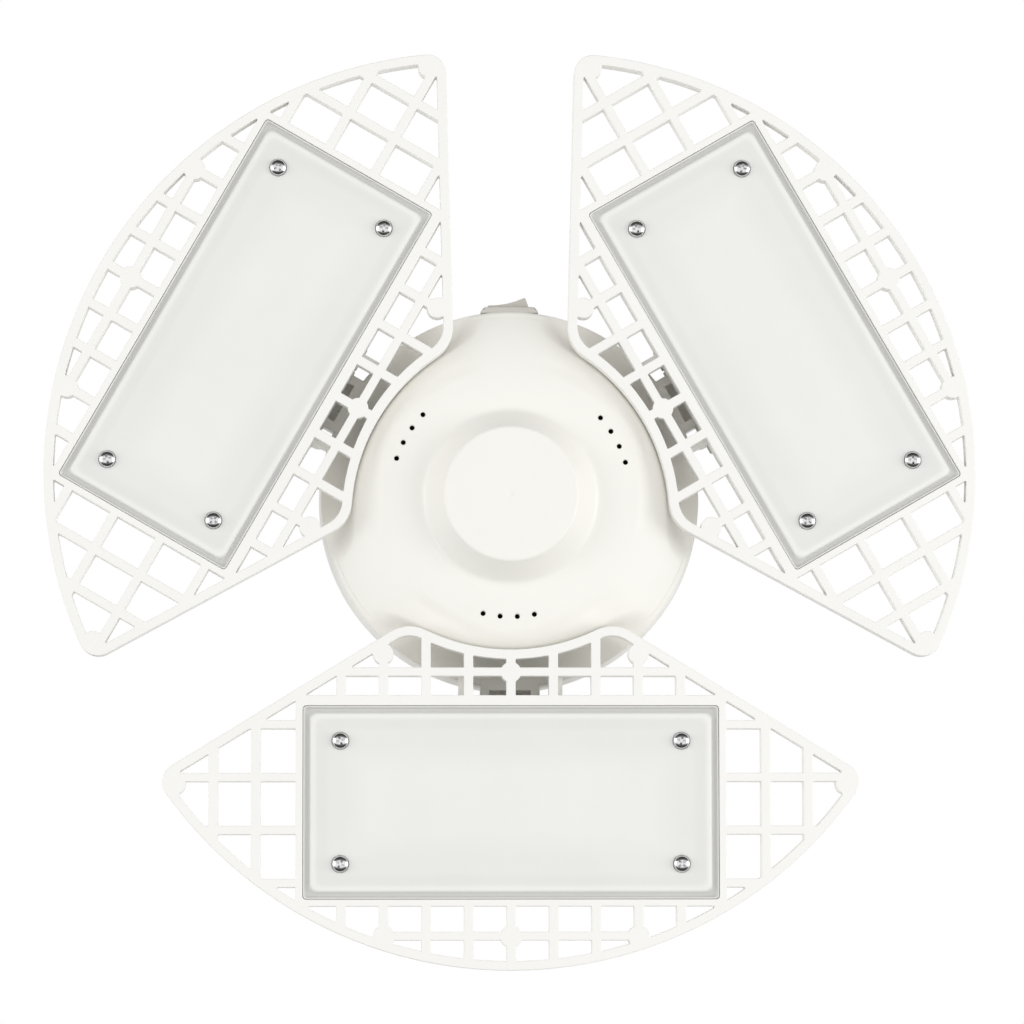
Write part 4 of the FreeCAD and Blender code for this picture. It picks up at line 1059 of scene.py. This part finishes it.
def world_to_view():
    rx = Matrix.Rotation(AX, 3, "X")
    ry = Matrix.Rotation(AY, 3, "Y")
    rz = Matrix.Rotation(RZ, 3, "Z")
    return rz @ ry @ rx @ Matrix(((-1, 0, 0), (0, -1, 0), (0, 0, 1)))


R = world_to_view()
place = TARGET - R.transposed() @ Vector((0, 0, DIST))
turn = (R.transposed() @ Matrix(((1, 0, 0), (0, -1, 0), (0, 0, -1)))).to_4x4()
cam_data = bpy.data.cameras.new("camera")
cam = bpy.data.objects.new("camera", cam_data)
bpy.context.scene.collection.objects.link(cam)
cam.matrix_world = Matrix.Translation(place) @ turn
cam_data.sensor_width = 36.0
cam_data.lens = FOCAL / 1024.0 * 36.0
cam_data.clip_start = 0.05
cam_data.clip_end = 60.0
cam_data.dof.use_dof = False
bpy.context.scene.camera = cam

floor_mesh = bpy.data.meshes.new("floor")
floor_mesh.from_pydata([(-9, -9, -3.3), (9, -9, -3.3), (9, 9, -3.3), (-9, 9, -3.3)], [], [(0, 1, 2, 3)])
floor = bpy.data.objects.new("floor", floor_mesh)
bpy.context.scene.collection.objects.link(floor)
fm, ft, fb = new_mat("mat_floor")
fb.inputs["Base Color"].default_value = (0.86, 0.86, 0.85, 1)
fb.inputs["Roughness"].default_value = 0.9
floor_mesh.materials.append(fm)
floor.visible_diffuse = False
floor.visible_glossy = False
floor.visible_shadow = False

world = bpy.data.worlds.new("studio")
bpy.context.scene.world = world
world.use_nodes = True
wt = world.node_tree
wt.nodes.clear()
w_out = wt.nodes.new("ShaderNodeOutputWorld")
geo = wt.nodes.new("ShaderNodeTexCoord")
sep = wt.nodes.new("ShaderNodeSeparateXYZ")
wt.links.new(geo.outputs["Generated"], sep.inputs["Vector"])
z01 = span(wt, sep.outputs["Z"], -1.0, 1.0)
light = ramp(wt, z01, [(0.0, 0.10), (0.008, 0.14), (0.025, 0.90), (0.125, 0.90), (0.2, 0.69), (0.35, 0.41), (0.5, 0.38),
                       (0.65, 0.55), (0.8, 0.76), (1.0, 0.76)])
bg_l = wt.nodes.new("ShaderNodeBackground")
wt.links.new(light, bg_l.inputs["Color"])
bg_l.inputs["Strength"].default_value = 1.14
bg_c = wt.nodes.new("ShaderNodeBackground")
bg_c.inputs["Color"].default_value = (1, 1, 1, 1)
bg_c.inputs["Strength"].default_value = 1.0
lp = wt.nodes.new("ShaderNodeLightPath")
side = add(wt, "ShaderNodeMath", operation="ABSOLUTE")
wt.links.new(sep.outputs["Y"], side.inputs[0])
glow = ramp(wt, side.outputs[0], [(0.0, 1.0), (0.30, 0.95), (0.42, 0.30), (0.60, 0.06), (1.0, 0.05)])
bg_g = wt.nodes.new("ShaderNodeBackground")
wt.links.new(glow, bg_g.inputs["Color"])
bg_g.inputs["Strength"].default_value = 1.0
mg = wt.nodes.new("ShaderNodeMixShader")
wt.links.new(lp.outputs["Is Glossy Ray"], mg.inputs[0])
wt.links.new(bg_l.outputs[0], mg.inputs[1])
wt.links.new(bg_g.outputs[0], mg.inputs[2])
mx = wt.nodes.new("ShaderNodeMixShader")
wt.links.new(lp.outputs["Is Camera Ray"], mx.inputs[0])
wt.links.new(mg.outputs[0], mx.inputs[1])
wt.links.new(bg_c.outputs[0], mx.inputs[2])
wt.links.new(mx.outputs[0], w_out.inputs["Surface"])


def area(name, loc, target, size, power, color=(1, 1, 1)):
    d = bpy.data.lights.new(name, "AREA")
    d.shape = "RECTANGLE"
    d.size, d.size_y = size
    d.energy = power
    d.color = color
    o = bpy.data.objects.new(name, d)
    bpy.context.scene.collection.objects.link(o)
    o.location = loc
    o.rotation_mode = "QUATERNION"
    o.rotation_quaternion = (Vector(target) - Vector(loc)).to_track_quat("-Z", "Y")
    return o


# low side boxes: image right is -X, image up is +Y
area("box_right", (-1.7, -0.1, -0.9), (0, 0, -0.09), (1.0, 1.4), 13.8)
area("box_left", (1.7, 0.1, -0.9), (0, 0, -0.09), (1.0, 1.4), 10.0)

bpy.context.scene.view_settings.view_transform = "Standard"
bpy.context.scene.view_settings.look = "None"
